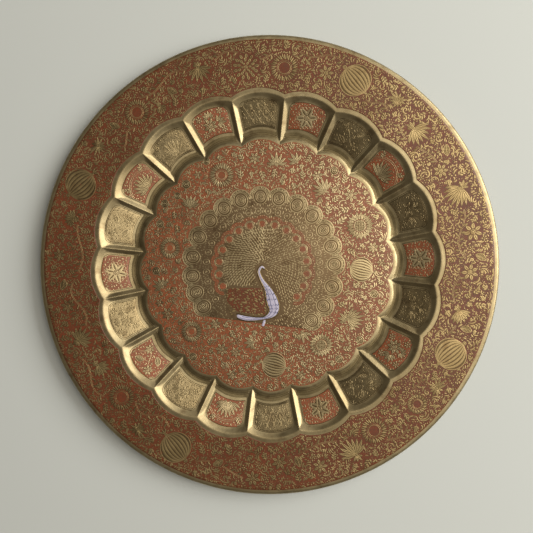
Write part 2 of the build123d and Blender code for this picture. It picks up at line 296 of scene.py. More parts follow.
def plate_rows():
    """Reach functions from the middle of the plate out to where the edge turns down."""
    rows = [blended(MEDALLION_EDGE, share, 98.0) for share in (0.02, 0.2, 0.4, 0.6, 0.75, 0.86, 0.94)]
    rows += offset_rows(MEDALLION_EDGE, STEP_ROWS)
    lip_rows = offset_rows(LIP_INNER, LIP_ROWS)
    rows += [between(rows[-1], lip_rows[0], share) for share in (0.12, 0.27, 0.42, 0.57, 0.72, 0.87)]
    rows += lip_rows
    rows += [between(rows[-1], lambda local: CURVE_START, share)
             for share in (0.1, 0.22, 0.36, 0.5, 0.64, 0.78, 0.9, 1.0)]
    return rows


def edge_profile():
    """(distance, height) round the turned-down edge: down the outside, then up the inside."""
    top = float(surface(np.array([CURVE_START]), np.array([0.0]))[0])
    inside = PLATE_RADIUS - SHEET

    def bend(radius, angles):
        return [(CURVE_START + radius * math.cos(math.radians(angle)),
                 top - EDGE_CURVE + radius * math.sin(math.radians(angle))) for angle in angles]

    foot = [(PLATE_RADIUS - back, EDGE_BOTTOM + up) for back, up in EDGE_ROUNDING]
    foot.append((PLATE_RADIUS - SHEET / 2, EDGE_BOTTOM))
    foot += [(inside + back, EDGE_BOTTOM + up) for back, up in EDGE_ROUNDING[::-1]]
    return bend(EDGE_CURVE, range(75, -1, -15)) + foot + bend(EDGE_CURVE - SHEET, range(0, 76, 15))


def draped(ring, under=False, lift=0.0):
    """Points of the sheet along a ring of (far, angle)."""
    spots = polar(ring[:, 0], ring[:, 1])
    return np.column_stack([spots.real, spots.imag, surface(spots.real, spots.imag, under) + lift])


def build_plate(material):
    """The sheet as one closed surface: upper face, turned-down edge, lower face."""
    rings = [row_of_points(row) for row in plate_rows()]
    columns = len(rings[0])
    layers = [draped(ring) for ring in rings]
    around = np.exp(1j * np.radians(rings[-1][:, 1]))
    for far, height in edge_profile():
        layers.append(np.column_stack([far * around.real, far * around.imag, np.full(columns, height)]))
    layers += [draped(ring, under=True) for ring in rings[::-1]]
    faces = grid_faces(len(layers), columns, closed=True)
    hubs = [(0, 0, layers[0][0, 2]), (0, 0, layers[-1][0, 2])]
    points = np.concatenate(layers + [np.array(hubs)])
    top_hub, bottom_hub = len(points) - 2, len(points) - 1
    last = (len(layers) - 1) * columns
    for column in range(columns):
        right = (column + 1) % columns
        faces.append((top_hub, column, right))
        faces.append((bottom_hub, last + right, last + column))
    return add_piece("plate_sheet", points, faces, material)


# ---------------- fills that lie on the sheet

def build_skin(name, rows, material, lift=FILL):
    """A lobed layer of fill lying level on the sheet, with its borders tucked down into it."""
    rings = [row_of_points(row) for row in rows]
    lifts = [-0.1] + [lift] * (len(rings) - 2) + [-0.1]
    layers = [draped(ring, lift=height) for ring, height in zip(rings, lifts)]
    faces = grid_faces(len(layers), len(rings[0]), closed=True)
    return add_piece(name, np.concatenate(layers), faces, material)


# First guesses at how far out a floor's points and the darker strip's points lie
FLOOR_GUESS = 118.0
FOOT_GUESS = 104.0


def settled_row(angle, sides, guess, clearance, reach_at):
    """Points across one well at a reach that depends on where each lies between the ridges."""
    row = []
    for side in sides:
        far = guess
        for _ in range(3):
            local = side * (HALF_SECTOR - math.degrees(math.asin(clearance / far)))
            far = float(reach_at(local))
        row.append(polar(far, angle + local))
    return row


def well_floor(angle, margin):
    """A grid of points over one well's floor, inside a margin, with its outer corners rounded."""
    inner = offset_rows(MEDALLION_EDGE, [FIELD_START + margin])[0]
    outer = offset_rows(LIP_INNER, [-LIP_RUN - margin - 0.3])[0]
    rows = []
    for share in (0.0, 0.02, 0.12, 0.26, 0.4, 0.54, 0.68, 0.8, 0.88, 0.94, 0.98, 1.0):
        near_end = max(0.0, (share - 0.8) / 0.2)
        narrowed = 1.0 - 0.2 * (1.0 - math.sqrt(max(0.0, 1.0 - near_end ** 2)))
        sides = np.linspace(-1, 1, 15) * narrowed
        reach_at = between(inner, outer, share)
        rows.append(settled_row(angle, sides, FLOOR_GUESS, RIDGE_RUN + margin + 0.3, reach_at))
    return np.array(rows)


def floor_skin(grid, lift=FILL):
    """Draped points of a floor grid, with its border tucked down."""
    heights = surface(grid.real, grid.imag) + lift
    border = np.zeros(grid.shape, bool)
    border[0], border[-1], border[:, 0], border[:, -1] = True, True, True, True
    heights[border] -= lift + 0.1
    return np.stack([grid.real, grid.imag, heights], axis=-1).reshape(-1, 3)


def build_floor(name, grids, material, lift=FILL):
    """One piece that fills the floors of one or more wells."""
    points, faces = [], []
    for number, grid in enumerate(grids):
        rows, columns = grid.shape
        points.append(floor_skin(grid, lift))
        faces += grid_faces(rows, columns, closed=False, first=number * rows * columns)
    return add_piece(name, np.concatenate(points), faces, material)


def smooth_line(points, steps):
    """A Catmull-Rom curve through a few points, at an even number of steps."""
    points = np.asarray(points, complex)
    padded = np.concatenate([[2 * points[0] - points[1]], points, [2 * points[-1] - points[-2]]])
    t = np.linspace(0, len(points) - 1, steps)
    span = np.minimum(t.astype(int), len(points) - 2)
    u = t - span
    a, b, c, d = padded[span], padded[span + 1], padded[span + 2], padded[span + 3]
    square = 2 * a - 5 * b + 4 * c - d
    cube = 3 * b - a - 3 * c + d
    return 0.5 * (2 * b + (c - a) * u + square * u ** 2 + cube * u ** 3)


def build_lens(name, patches, material, lift, crown):
    """Low domed fills, each between a left and a right line."""
    points, faces, count = [], [], 0
    across = np.linspace(0, 1, 9)
    for left, right, steps in patches:
        left, right = smooth_line(left, steps), smooth_line(right, steps)
        grid = left[:, None] + (right - left)[:, None] * across[None, :]
        swell = np.sin(np.pi * across)[None, :] ** 0.5 * np.ones((steps, 1))
        swell[0], swell[-1] = 0.0, 0.0
        heights = surface(grid.real, grid.imag) + lift - 0.12 + (0.12 + crown) * swell
        points.append(np.stack([grid.real, grid.imag, heights], axis=-1).reshape(-1, 3))
        turned = ((right - left)[steps // 2] / np.gradient(left)[steps // 2]).imag > 0
        quads = grid_faces(steps, len(across), closed=False, first=count)
        faces += quads if turned else [quad[::-1] for quad in quads]
        count += steps * len(across)
    return add_piece(name, np.concatenate(points), faces, material)


# ---------------- materials

def new_material(name):
    material = bpy.data.materials.new(name)
    material.use_nodes = True
    tree = material.node_tree
    return material, tree, tree.nodes["Principled BSDF"]


def noise(tree, scale, detail=4.0, rough=0.55):
    """A noise field over the piece, scale in features per metre."""
    place = tree.nodes.new("ShaderNodeTexCoord")
    field = tree.nodes.new("ShaderNodeTexNoise")
    field.inputs["Scale"].default_value = scale
    field.inputs["Detail"].default_value = detail
    field.inputs["Roughness"].default_value = rough
    tree.links.new(place.outputs["Object"], field.inputs["Vector"])
    return field.outputs["Fac"]


def ramp(tree, source, low, high, bottom, top):
    """A field stretched between two grey values."""
    node = tree.nodes.new("ShaderNodeMapRange")
    for name, value in (("From Min", low), ("From Max", high), ("To Min", bottom), ("To Max", top)):
        node.inputs[name].default_value = value
    tree.links.new(source, node.inputs["Value"])
    return node.outputs["Result"]


def mix(tree, share, low, high):
    """A colour between two by a field; each of the two is a colour or a field of colours."""
    node = tree.nodes.new("ShaderNodeMix")
    node.data_type = "RGBA"
    tree.links.new(share, node.inputs["Factor"])
    for name, value in (("A", low), ("B", high)):
        if isinstance(value, tuple):
            node.inputs[name].default_value = (*value, 1.0)
        else:
            tree.links.new(value, node.inputs[name])
    return node.outputs["Result"]


def bump(tree, shader, source, distance, strength):
    node = tree.nodes.new("ShaderNodeBump")
    node.inputs["Distance"].default_value = distance
    node.inputs["Strength"].default_value = strength
    tree.links.new(source, node.inputs["Height"])
    tree.links.new(node.outputs["Normal"], shader.inputs["Normal"])


def aged_metal(name, light, dark, stain, rough):
    """Old brass: rubbed bright in places, browned in others, stained in spots."""
    material, tree, shader = new_material(name)
    broad = ramp(tree, noise(tree, 24, 5, 0.6), 0.36, 0.66, 0.0, 1.0)
    fine = ramp(tree, noise(tree, 420, 4, 0.6), 0.35, 0.72, 0.0, 0.5)
    spots = ramp(tree, noise(tree, 130, 3, 0.5), 0.56, 0.72, 0.0, 0.7)
    colour = mix(tree, fine, mix(tree, broad, light, dark), dark)
    tree.links.new(mix(tree, spots, colour, stain), shader.inputs["Base Color"])
    shader.inputs["Metallic"].default_value = 1.0
    tree.links.new(ramp(tree, noise(tree, 90, 6, 0.65), 0.3, 0.72, *rough), shader.inputs["Roughness"])
    bump(tree, shader, noise(tree, 700, 5, 0.7), 0.00006, 0.35)
    return material


def fired_fill(name, light, dark, grime, rough, dirt=1.0):
    """Fired lacquer or enamel rubbed back by hand, with browned grime in a fine grain."""
    material, tree, shader = new_material(name)
    patch = ramp(tree, noise(tree, 38, 6, 0.62), 0.36, 0.66, 0.0, 1.0)
    grain = ramp(tree, noise(tree, 900, 4, 0.7), 0.38, 0.7, 0.0, dirt)
    colour = mix(tree, grain, mix(tree, patch, light, dark), grime)
    tree.links.new(colour, shader.inputs["Base Color"])
    tree.links.new(ramp(tree, noise(tree, 150, 5, 0.6), 0.3, 0.7, *rough), shader.inputs["Roughness"])
    bump(tree, shader, noise(tree, 1100, 4, 0.6), 0.0001, 0.5)
    return material


SHEET_BRASS = aged_metal(
    "sheet_brass", (0.44, 0.365, 0.22), (0.31, 0.245, 0.135), (0.21, 0.15, 0.08), (0.40, 0.58))
BRIGHT = aged_metal(
    "chased_brass", (0.47, 0.355, 0.18), (0.31, 0.225, 0.11), (0.22, 0.14, 0.065), (0.42, 0.60))
DARK = aged_metal(
    "chasing_bed", (0.19, 0.135, 0.07), (0.12, 0.08, 0.04), (0.08, 0.05, 0.025), (0.46, 0.64))
PATINA = aged_metal(
    "well_ground", (0.40, 0.32, 0.185), (0.28, 0.215, 0.115), (0.18, 0.125, 0.065), (0.28, 0.42))
# Darker brass for the strip at the foot of the medallion's step
FOOT = aged_metal(
    "darker_foot_strip", (0.25, 0.20, 0.11), (0.17, 0.13, 0.065), (0.12, 0.085, 0.045), (0.38, 0.56))
ETCHED = aged_metal(
    "etched_line", (0.25, 0.19, 0.10), (0.17, 0.125, 0.06), (0.11, 0.08, 0.04), (0.4, 0.6))
ENGRAVED = aged_metal(
    "engraved_line", (0.13, 0.095, 0.045), (0.08, 0.055, 0.028), (0.06, 0.04, 0.02), (0.4, 0.6))
FAN_BRASS = aged_metal(
    "fan_ground", (0.27, 0.19, 0.108), (0.19, 0.128, 0.072), (0.12, 0.075, 0.04), (0.4, 0.58))
RED = fired_fill(
    "red_lacquer", (0.175, 0.036, 0.010), (0.12, 0.028, 0.008), (0.08, 0.03, 0.011), (0.42, 0.56))
RUBBED_RED = fired_fill(
    "rubbed_red_lacquer", (0.32, 0.085, 0.034), (0.22, 0.065, 0.026), (0.13, 0.055, 0.023), (0.34, 0.5))
RUBBED_BRASS = aged_metal(
    "rubbed_brass", (0.60, 0.485, 0.295), (0.42, 0.33, 0.185), (0.28, 0.19, 0.10), (0.38, 0.54))
PALE = fired_fill(
    "pale_enamel", (0.62, 0.58, 0.74), (0.48, 0.46, 0.62), (0.30, 0.26, 0.32), (0.3, 0.5), 0.6)
BLUE = fired_fill(
    "blue_enamel", (0.13, 0.14, 0.30), (0.09, 0.10, 0.20), (0.06, 0.05, 0.08), (0.3, 0.5), 0.6)


# ---------------- what ground is still bare

CELL = 0.33
GRID_HALF = 180.0
CELLS = int(2 * GRID_HALF / CELL)


def cell_centres():
    axis = (np.arange(CELLS) + 0.5) * CELL - GRID_HALF
    return np.meshgrid(axis, axis, indexing="ij")


def disc_cells(radius):
    """Offsets, in cells, of every cell within a radius."""
    most = int(radius / CELL) + 1
    steps = np.arange(-most, most + 1)
    across, up = np.meshgrid(steps, steps, indexing="ij")
    inside = across ** 2 + up ** 2 <= (radius / CELL) ** 2
    return across[inside], up[inside]


class Ground:
    """A part of the plate, in small cells, that fills up as ornament is claimed in it."""

    def __init__(self, inside):
        x, y = cell_centres()
        self.taken = ~inside(x, y)

    def cell(self, spot):
        return int((spot.real + GRID_HALF) / CELL), int((spot.imag + GRID_HALF) / CELL)

    def around(self, spots, radius):
        """The cells within a radius of some spots."""
        across, up = disc_cells(radius)
        spots = np.atleast_1d(np.asarray(spots, complex))
        column = ((spots.real + GRID_HALF) / CELL).astype(int)
        row = ((spots.imag + GRID_HALF) / CELL).astype(int)
        return (np.clip(column[:, None] + across[None, :], 0, CELLS - 1),
                np.clip(row[:, None] + up[None, :], 0, CELLS - 1))

    def claim(self, spots, radius):
        self.taken[self.around(spots, radius)] = True

    def free(self, spots, radius):
        return not self.taken[self.around(spots, radius)].any()

    def bare_spots(self, generator):
        """The middles of the bare cells, in a fixed random order."""
        cells = np.argwhere(~self.taken)
        generator.shuffle(cells)
        return (cells[:, 0] + 0.5) * CELL - GRID_HALF + 1j * ((cells[:, 1] + 0.5) * CELL - GRID_HALF)


SWIRL_LEAN = 0.4


def swirl_field(spacing, seed):
    """Directions that wind round scattered centres, and which centre each cell winds round."""
    generator = np.random.default_rng(seed)
    count = int(2 * GRID_HALF / spacing) + 3
    places = generator.uniform(0.15, 0.85, (count, count, 2))
    hands = generator.choice((-1, 1), (count, count))
    x, y = cell_centres()
    column = ((x + GRID_HALF) // spacing).astype(int)
    row = ((y + GRID_HALF) // spacing).astype(int)
    nearest = np.full(x.shape, 1e9)
    heading = np.ones(x.shape, complex)
    owner = np.zeros(x.shape, int)
    for across in (-1, 0, 1):
        for up in (-1, 0, 1):
            a, b = np.clip(column + across, 0, count - 1), np.clip(row + up, 0, count - 1)
            gap = (x + GRID_HALF - (a + places[a, b, 0]) * spacing
                   + 1j * (y + GRID_HALF - (b + places[a, b, 1]) * spacing))
            closer = np.abs(gap) < nearest
            hand = hands[a, b]
            wound = 1j * hand * gap / np.maximum(np.abs(gap), 1e-6) * np.exp(1j * hand * SWIRL_LEAN)
            nearest = np.where(closer, np.abs(gap), nearest)
            heading = np.where(closer, wound, heading)
            owner = np.where(closer, a * count + b, owner)
    return heading, owner


# ---------------- chasing: strokes of standing brass

# A plan is drawn in complex numbers. In a motif's own frame the real axis runs clockwise round the
# plate and the imaginary axis runs outwards.

class Chasing:
    """Crowned ribbons of metal or fill, gathered into one piece."""

    def __init__(self, name, material, foot, crown):
        self.name, self.material, self.foot, self.crown = name, material, foot, crown
        self.rows, self.faces, self.count = [], [], 0

    def ribbon(self, line, half_widths):
        line = np.asarray(line, complex)
        along = np.gradient(line)
        side = 1j * along / np.maximum(np.abs(along), 1e-9)
        half_widths = np.broadcast_to(half_widths, line.shape)
        steps = len(line)
        rise = self.crown + 0.012 * (self.count % 5) / 5
        for across, height in ((-1, self.foot), (0, rise), (1, self.foot)):
            spot = line + side * half_widths * across
            self.rows.append(np.column_stack([spot.real, spot.imag, np.full(steps, height)]))
        self.faces += [quad[::-1] for quad in grid_faces(3, steps, closed=False, first=self.count)]
        self.count += 3 * steps

    def piece(self):
        points = np.concatenate(self.rows)
        points[:, 2] += surface(points[:, 0], points[:, 1])
        return add_piece(self.name, points, self.faces, self.material)


class Place:
    """Where a motif stands: a spot on the plate, a turn and a size."""

    def __init__(self, far, angle, turn=0.0, size=1.0, flip=False, hub=0j):
        outward = np.exp(1j * math.radians(angle))
        self.spot = far * outward + hub
        self.turn = -1j * outward * np.exp(1j * math.radians(turn)) * size
        self.size = size
        self.flip = flip

    def put(self, local):
        local = np.asarray(local, complex)
        return self.spot + self.turn * (np.conj(local) if self.flip else local)

    def nested(self, local, turn=0.0):
        """A place within this one."""
        child = Place(0, 0)
        child.spot = complex(self.put(local))
        child.turn = self.turn * polar(1, -turn if self.flip else turn)
        child.size = self.size
        child.flip = self.flip
        return child


def level_place(x, y, turn=0.0, size=1.0):
    """A place whose real axis runs along +X."""
    return Place(0, 90, turn, size, hub=complex(x, y))


class Ink:
    """The bright strokes, the dark beds and the engraved lines that a stretch of chasing is drawn with."""

    def __init__(self, name, base=FILL, bright=BRIGHT, dark=DARK):
        self.bright = Chasing(name + "_chasing", bright, base + BED, base + BED + LINE)
        self.dark = Chasing(name + "_beds", dark, base, base + BED)
        self.line = Chasing(name + "_lines", ENGRAVED, base + BED, base + BED + LINE + 0.03)

    def finish(self):
        for layer in (self.dark, self.bright, self.line):
            if layer.count:
                mark(layer.piece(), "brass_sheet")


def arc(centre, radius, start, stop, steps):
    return centre + radius * np.exp(1j * np.radians(np.linspace(start, stop, steps)))


def bent(base, tip, bend, steps=7):
    """A quadratic curve from base to tip that bows sideways by a share of its length."""
    t = np.linspace(0, 1, steps)
    control = (base + tip) / 2 + 1j * (tip - base) * bend
    return (1 - t) ** 2 * base + 2 * t * (1 - t) * control + t ** 2 * tip


def stroke(ink, place, line, width=0.5, taper=0.0):
    """A single standing line, thinned towards its ends by a taper."""
    t = np.linspace(-1, 1, len(line))
    ink.bright.ribbon(place.put(line), width / 2 * (1 - taper * t ** 4))


def cross(ink, place, offset, half, width, steps=4):
    """A pair of strokes that cross, each an offset from the motif's middle."""
    along = np.linspace(-half, half, steps)
    stroke(ink, place, along + 1j * offset, width)
    stroke(ink, place, offset + 1j * along, width)


def petal(ink, place, base, tip, width, bend=0.0, fat=0.5, steps=7):
    """A pointed petal: a dark bed, and two bright halves that leave a groove between them."""
    line = bent(base, tip, bend, steps)
    t = np.linspace(0, 1, steps)
    swell = np.clip(np.sin(np.pi * t ** (0.5 / fat)), 0.0, 1.0) ** 0.75
    half = width / 2 * swell * place.size
    spots = place.put(line)
    ink.dark.ribbon(spots, half + 0.36)
    if width * place.size < 1.25:
        ink.bright.ribbon(spots, half)
        return
    along = np.gradient(spots)
    side = 1j * along / np.maximum(np.abs(along), 1e-9)
    for hand in (-1, 1):
        ink.bright.ribbon(spots + side * hand * (half * 0.56), np.maximum(half * 0.36, 0.05))


def ring(ink, place, centre, radius, width, tall=1.0, steps=19):
    """A closed round or oval line."""
    line = arc(0, radius, 0, 360, steps)
    stroke(ink, place, centre + line.real + 1j * line.imag * tall, width)


def disc(ink, place, centre, radius):
    """A small boss with a dark border."""
    round_ = arc(0, 1, 0, 360, 13)
    spot = place.put(centre)
    size = radius * place.size
    ink.dark.ribbon(spot + round_ * size * 0.55, size * 0.62)
    ink.bright.ribbon(spot + round_ * size * 0.85, min(0.3, size * 0.2))
    ink.bright.ribbon(spot + round_ * size * 0.22, size * 0.2)


def bed(ink, place, centre, inner, outer, tall=1.0):
    """A plain dark ground, round or oval, with or without an open middle."""
    edge = arc(0, 1, 0, 360, 29)
    edge = edge.real + 1j * edge.imag * tall
    ink.dark.ribbon(place.put(centre + edge * (inner + outer) / 2), (outer - inner) / 2 * place.size)


def fill(ink_at, ground, field, generator, pitch, half, length, edging, shortest=3):
    """Covers bare ground with leaf-shaped strokes, dark at their edges, that follow a field of directions."""
    heading, owner = field
    taken = ground.taken
    step = 0.5
    for start in ground.bare_spots(generator):
        cell = ground.cell(start)
        if taken[cell]:
            continue
        centre, spot, run = owner[cell], start, []
        limit = int(generator.uniform(*length) / step)
        while len(run) < limit and not taken[cell] and owner[cell] == centre:
            run.append(spot)
            spot = spot + heading[cell] * step
            cell = ground.cell(spot)
        if len(run) < shortest:
            taken[ground.cell(start)] = True
            continue
        line = np.array(run[::2] if len(run) > 5 else run)
        t = np.linspace(0.06, 0.98, len(line))
        half_widths = half * generator.uniform(0.8, 1.15) * np.sin(np.pi * t ** 0.8) ** 0.6
        ink_at(start).bright.ribbon(line, half_widths)
        ink_at(start).dark.ribbon(line, half_widths + edging)
        ground.claim(np.array(run), pitch)


# ---------------- motifs

def fan_of_petals(ink, place, first, last, count, length, width, bend=0.1, clear=1.0):
    """Petals spread from one root between two directions."""
    for step in range(count):
        share = step / max(count - 1, 1)
        direction = np.exp(1j * math.radians(first + (last - first) * share))
        far = length * (0.82 + 0.18 * math.sin(math.pi * share)) * RNG.uniform(0.92, 1.08)
        petal(ink, place, clear * direction, far * direction, width, bend * (1 - 2 * share), fat=0.58)


def petals_round(ink, place, count, offset, start, stop, width, **shape):
    """Even petals round a motif's middle, the first an offset share of a step along."""
    for step in range(count):
        way = spoke(step + offset, count)
        petal(ink, place, start * way, stop * way, width, **shape)


def melon(ink, place, half_length=11.6, half_width=12.4, ribs=10):
    """A ribbed gourd lying along its stem, with a ring at its nose and a knot at its stalk."""
    t = np.linspace(0, math.pi, 15)
    spacing = 2 * half_width / (ribs - 1)
    bed(ink, place, 0, 0, half_length, half_width / half_length)
    for share in np.linspace(-1, 1, ribs):
        line = -half_length * np.cos(t) + 1j * share * half_width * np.sin(t)
        width = 0.34 if abs(share) > 0.99 else 0.30 * spacing
        ink.bright.ribbon(place.put(line), (width * np.sin(t) ** 0.8 + 0.05) * place.size)
    disc(ink, place, -half_length - 1.4, 1.5)
    disc(ink, place, half_length + 0.9, 1.0)
    for direction in (150, 205, 35, -40, 0):
        way = polar(1, direction)
        petal(ink, place, half_length + 1.5 + 0.5 * way, half_length + 1.5 + 4.0 * way, 1.1, 0.12)


def starburst(ink, place):
    """Narrow pointed leaves thrown out from one point."""
    throws = ((168, 9.5), (195, 8.6), (146, 7.6), (222, 6.6), (250, 6.0), (274, 6.4), (300, 5.6),
              (332, 5.4), (8, 6.2), (42, 6.8), (70, 5.2), (108, 5.4))
    for direction, length in throws:
        way = polar(1, direction)
        petal(ink, place, 0.9 * way, length * way, 1.45, RNG.uniform(-0.08, 0.08), fat=0.6)
    disc(ink, place, 0, 1.1)


def wreath(ink, place, core=4.6, outer=10.6, count=17):
    """A round wreath of short leaves about a bare core."""
    ring(ink, place, 0, core, 0.5)
    ring(ink, place, 0, core + 1.0, 0.28)
    leaves = ((0.0, core + 1.5, outer - 0.2, 1.15), (0.18, core + 2.4, outer + 0.5, 0.6))
    for step in range(count):
        way = spoke(step + 0.2, count)
        for lean, start, length, width in leaves:
            tip = way * np.exp(1j * (lean + 0.1))
            petal(ink, place, start * way * np.exp(1j * lean), length * tip, width, 0.08, fat=0.62, steps=6)


def rosette(ink, place, outer=10.0):
    """A full rose of several rings of small petals."""
    for number, (far, count, size) in enumerate(((0.84, 13, 3.6), (0.56, 10, 3.2), (0.3, 6, 2.6))):
        low, high = far * outer - size / 2, far * outer + size / 2
        petals_round(ink, place, count, number * 0.5, low, high, size * 0.66, steps=6)
    disc(ink, place, 0, outer * 0.13)


def sunflower(ink, place, core=4.2, outer=10.5, count=19):
    """Two rings of narrow petals about a cross-cut eye."""
    bed(ink, place, 0, 0, core)
    petals_round(ink, place, count, 0.0, core + 0.4, outer * 0.86, 1.5, bend=0.05, fat=0.64, steps=6)
    petals_round(ink, place, count, 0.5, core + 2.4, outer, 1.2, bend=0.05, fat=0.64, steps=6)
    ring(ink, place, 0, core, 0.45)
    for offset in np.arange(-core + 1.2, core - 0.6, 1.25):
        cross(ink, place, offset, math.sqrt(core ** 2 - offset ** 2) - 0.5, 0.26)


def daisy(ink, place, count=7, length=5.6, eye=1.5):
    petals_round(ink, place, count, 0.3, eye + 0.3, length, 0.38 * length, bend=0.05, fat=0.62)
    disc(ink, place, 0, eye)


def bud(ink, place, length=5.0, width=3.4):
    """A closed bud on a short stalk, with two sepals."""
    petal(ink, place, 0j, 1j * length, width, steps=8)
    petal(ink, place, 0j, (0.55 + 0.5j) * length * 0.9, 1.1, -0.2)
    petal(ink, place, 0j, (-0.55 + 0.5j) * length * 0.9, 1.1, 0.2)
    stroke(ink, place, bent(0j, -1j * length * 0.5, 0.15, 5), 0.4, 0.5)


def round_bud(ink, place, radius=3.4):
    """Rings one inside another, with a small leaf below."""
    bed(ink, place, 0, 0, radius + 0.2)
    ring(ink, place, 0, radius, 0.5)
    ring(ink, place, 0.2j, radius * 0.6, 0.42)
    disc(ink, place, 0.3j, radius * 0.28)
    petal(ink, place, -1j * radius, -1j * (radius + 2.4), 1.2, 0.1)


def leaf_spray(ink, place, count=5, length=4.6):
    """Small leaves up both sides of a bowed stalk."""
    stalk = bent(-1j * length * 0.6, 1j * length * 0.7, 0.14, 7)
    stroke(ink, place, stalk, 0.36, 0.5)
    for step in range(count):
        root = stalk[1 + step * 5 // count]
        hand = 1 if step % 2 else -1
        way = np.exp(1j * math.radians(90 - hand * 52))
        petal(ink, place, root, root + way * length * 0.6, 1.05, -0.15 * hand, steps=6)
    petal(ink, place, stalk[-2], stalk[-1] + 0.9j, 1.0, steps=6)


def striped_leaf(ink, place, length=9.0, width=5.0):
    """A broad leaf cut across with slanting bars."""
    line = bent(-1j * length / 2, 1j * length / 2, 0.12, 9)
    half = width / 2 * np.sin(np.pi * np.linspace(0, 1, 9)) ** 0.8
    ink.dark.ribbon(place.put(line), (half + 0.3) * place.size)
    along = np.gradient(line)
    side = 1j * along / np.abs(along)
    for hand in (-1, 1):
        stroke(ink, place, line + side * half * hand, 0.42)
        for step in range(1, 8):
            tip = line[step] + side[step] * half[step] * hand * 0.9 + along[step] * 0.7
            stroke(ink, place, bent(line[step], tip, 0.0, 3), 0.4, 0.3)
    stroke(ink, place, line, 0.36, 0.4)


def scroll(ink, place, size=3.0):
    """A tendril that winds into a small spiral."""
    t = np.linspace(0, 1, 16)
    line = size * (1 - 0.8 * t) * np.exp(1j * (0.4 + 5.6 * t)) + size * (0.3 - 0.3 * t)
    stroke(ink, place, line, 0.45, 0.3)


class Stretch:
    """A ring of the plate that is being chased: an ink for each of its quarters, and its bare ground."""

    def __init__(self, name, inside, low, high, bright=BRIGHT):
        self.inks = [Ink(f"{name}_{side}", bright=bright) for side in ("right", "top", "left", "bottom")]
        self.ground = Ground(inside)
        self.low, self.high = low, high

    def ink_at(self, spot):
        return self.inks[int(((math.degrees(np.angle(spot)) + 45) % 360) // 90)]

    def set(self, draw, place, radius):
        """One motif, and the ground round it."""
        draw(self.ink_at(place.spot), place)
        self.ground.claim(place.spot, radius)

    def claim_fan(self, place, first, last, count, length, start, radius):
        """The ground under a fan of petals."""
        for direction in np.linspace(first, last, count * 2):
            self.ground.claim(place.put(np.linspace(start, 0.92, 8) * length * polar(1, direction)), radius)

    def scatter(self, tries, radius, draw):
        """Small motifs wherever there is room, at places tried in a fixed random order."""
        for _ in range(tries):
            far = math.sqrt(RNG.uniform(self.low ** 2, self.high ** 2))
            angle = RNG.uniform(0, 360)
            size = RNG.uniform(0.85, 1.12)
            place = Place(far, angle, RNG.uniform(-60, 60), size, RNG.random() < 0.5)
            if self.ground.free(place.spot, radius * size):
                self.set(draw, place, radius * size)

    def finish(self, field, seed, pitch, half, length, edging):
        """Line work over what is still bare, then one piece for each ink."""
        generator = np.random.default_rng(seed)
        fill(self.ink_at, self.ground, field, generator, pitch, half, length, edging, shortest=2)
        for ink in self.inks:
            ink.finish()


# ---------------- the rim

# Large motifs by place: angle and distance, then a size or a turn
RIM_MELONS = ((64.2, 157.2), (156.3, 158.0), (243.5, 158.3), (334.5, 156.4))
RIM_STARS = ((51.3, 161.5), (144.3, 160.7), (231.9, 162.6), (324.3, 160.7))
RIM_WREATHS = ((84.6, 152.6, 1.0), (130.0, 155.7, 0.93), (222.3, 152.8, 0.97), (303.3, 151.6, 0.95),
               (317.6, 157.0, 0.72))
RIM_ROSE = (95.7, 153.8)
# angle, distance, first and last direction, petals, length
RIM_FANS = (
    (21.7, 160.3, 8, -112, 9, 15.5), (43.0, 153.5, 62, -58, 8, 14.0), (108.9, 162.0, -25, -155, 7, 12.5),
    (123.6, 149.0, -50, -130, 5, 7.5), (166.2, 154.0, 20, 165, 8, 9.0), (201.8, 158.5, 10, -140, 8, 12.0),
    (210.4, 153.5, 140, 262, 7, 10.5), (295.5, 161.5, -12, -152, 9, 14.0), (347.0, 150.5, -25, 92, 8, 11.0))
RIM_DAISIES = (
    (9.3, 159.5, 1.25), (28.5, 151.5, 1.0), (72.6, 154.5, 1.05), (177.0, 162.0, 0.9), (191.5, 158.5, 1.0),
    (266.4, 165.5, 1.05), (273.9, 152.5, 1.05), (285.2, 160.5, 1.0), (358.2, 155.3, 1.15),
    (312.0, 147.6, 0.8))
RIM_STRIPED = (
    (118.0, 154.0, 35), (256.3, 157.5, -50), (185.3, 160.0, 70), (137.0, 160.5, 20), (32.5, 163.5, 60),
    (342.3, 160.3, 0), (2.2, 163.5, -30), (279.2, 153.5, 15))
VINES = ((2, 20, 152, -9), (26, 47, 148, 8), (52, 60, 150, 5), (69, 81, 166, 5), (88, 104, 163, -9),
         (112, 127, 163, 6), (133, 142, 147, 6), (163, 182, 147, 7), (184, 199, 150, 8), (206, 219, 163, -6),
         (226, 239, 147, 8), (250, 270, 162, -8), (272, 292, 146, 5), (298, 312, 163, -8), (320, 330, 146, 4),
         (339, 357, 148, 8))


def vine(ink, ground, start, stop, middle, sway):
    """A pair of lines that winds between the large motifs, with leaves to both sides."""
    angles = np.linspace(start, stop, int((stop - start) * 2))
    line = polar(middle + 0.5 * sway * np.sin((angles - start) / (stop - start) * 2 * math.pi), angles)
    run = []
    for spot in list(line) + [None]:
        if spot is not None and ground.free(spot, 0.6):
            run.append(spot)
            continue
        if len(run) > 3:
            spots = np.array(run)
            side = 1j * np.gradient(spots)
            side /= np.abs(side)
            for hand in (-0.42, 0.42):
                ink.bright.ribbon(spots + side * hand, 0.2)
            for step in range(1, len(run) - 1, 2):
                hand = 1 if step % 4 == 1 else -1
                heading = math.degrees(np.angle(spots[step + 1] - spots[step])) + hand * 55
                tip = spots[step] + side[step] * hand * 0.4
                petal(ink, level_place(tip.real, tip.imag, heading), 0j, 3.6 + 0j, 1.25, 0.2 * hand, steps=6)
                ground.claim(tip + np.exp(1j * math.radians(heading)) * 1.8, 1.9)
            ground.claim(spots, 1.3)
        run = []


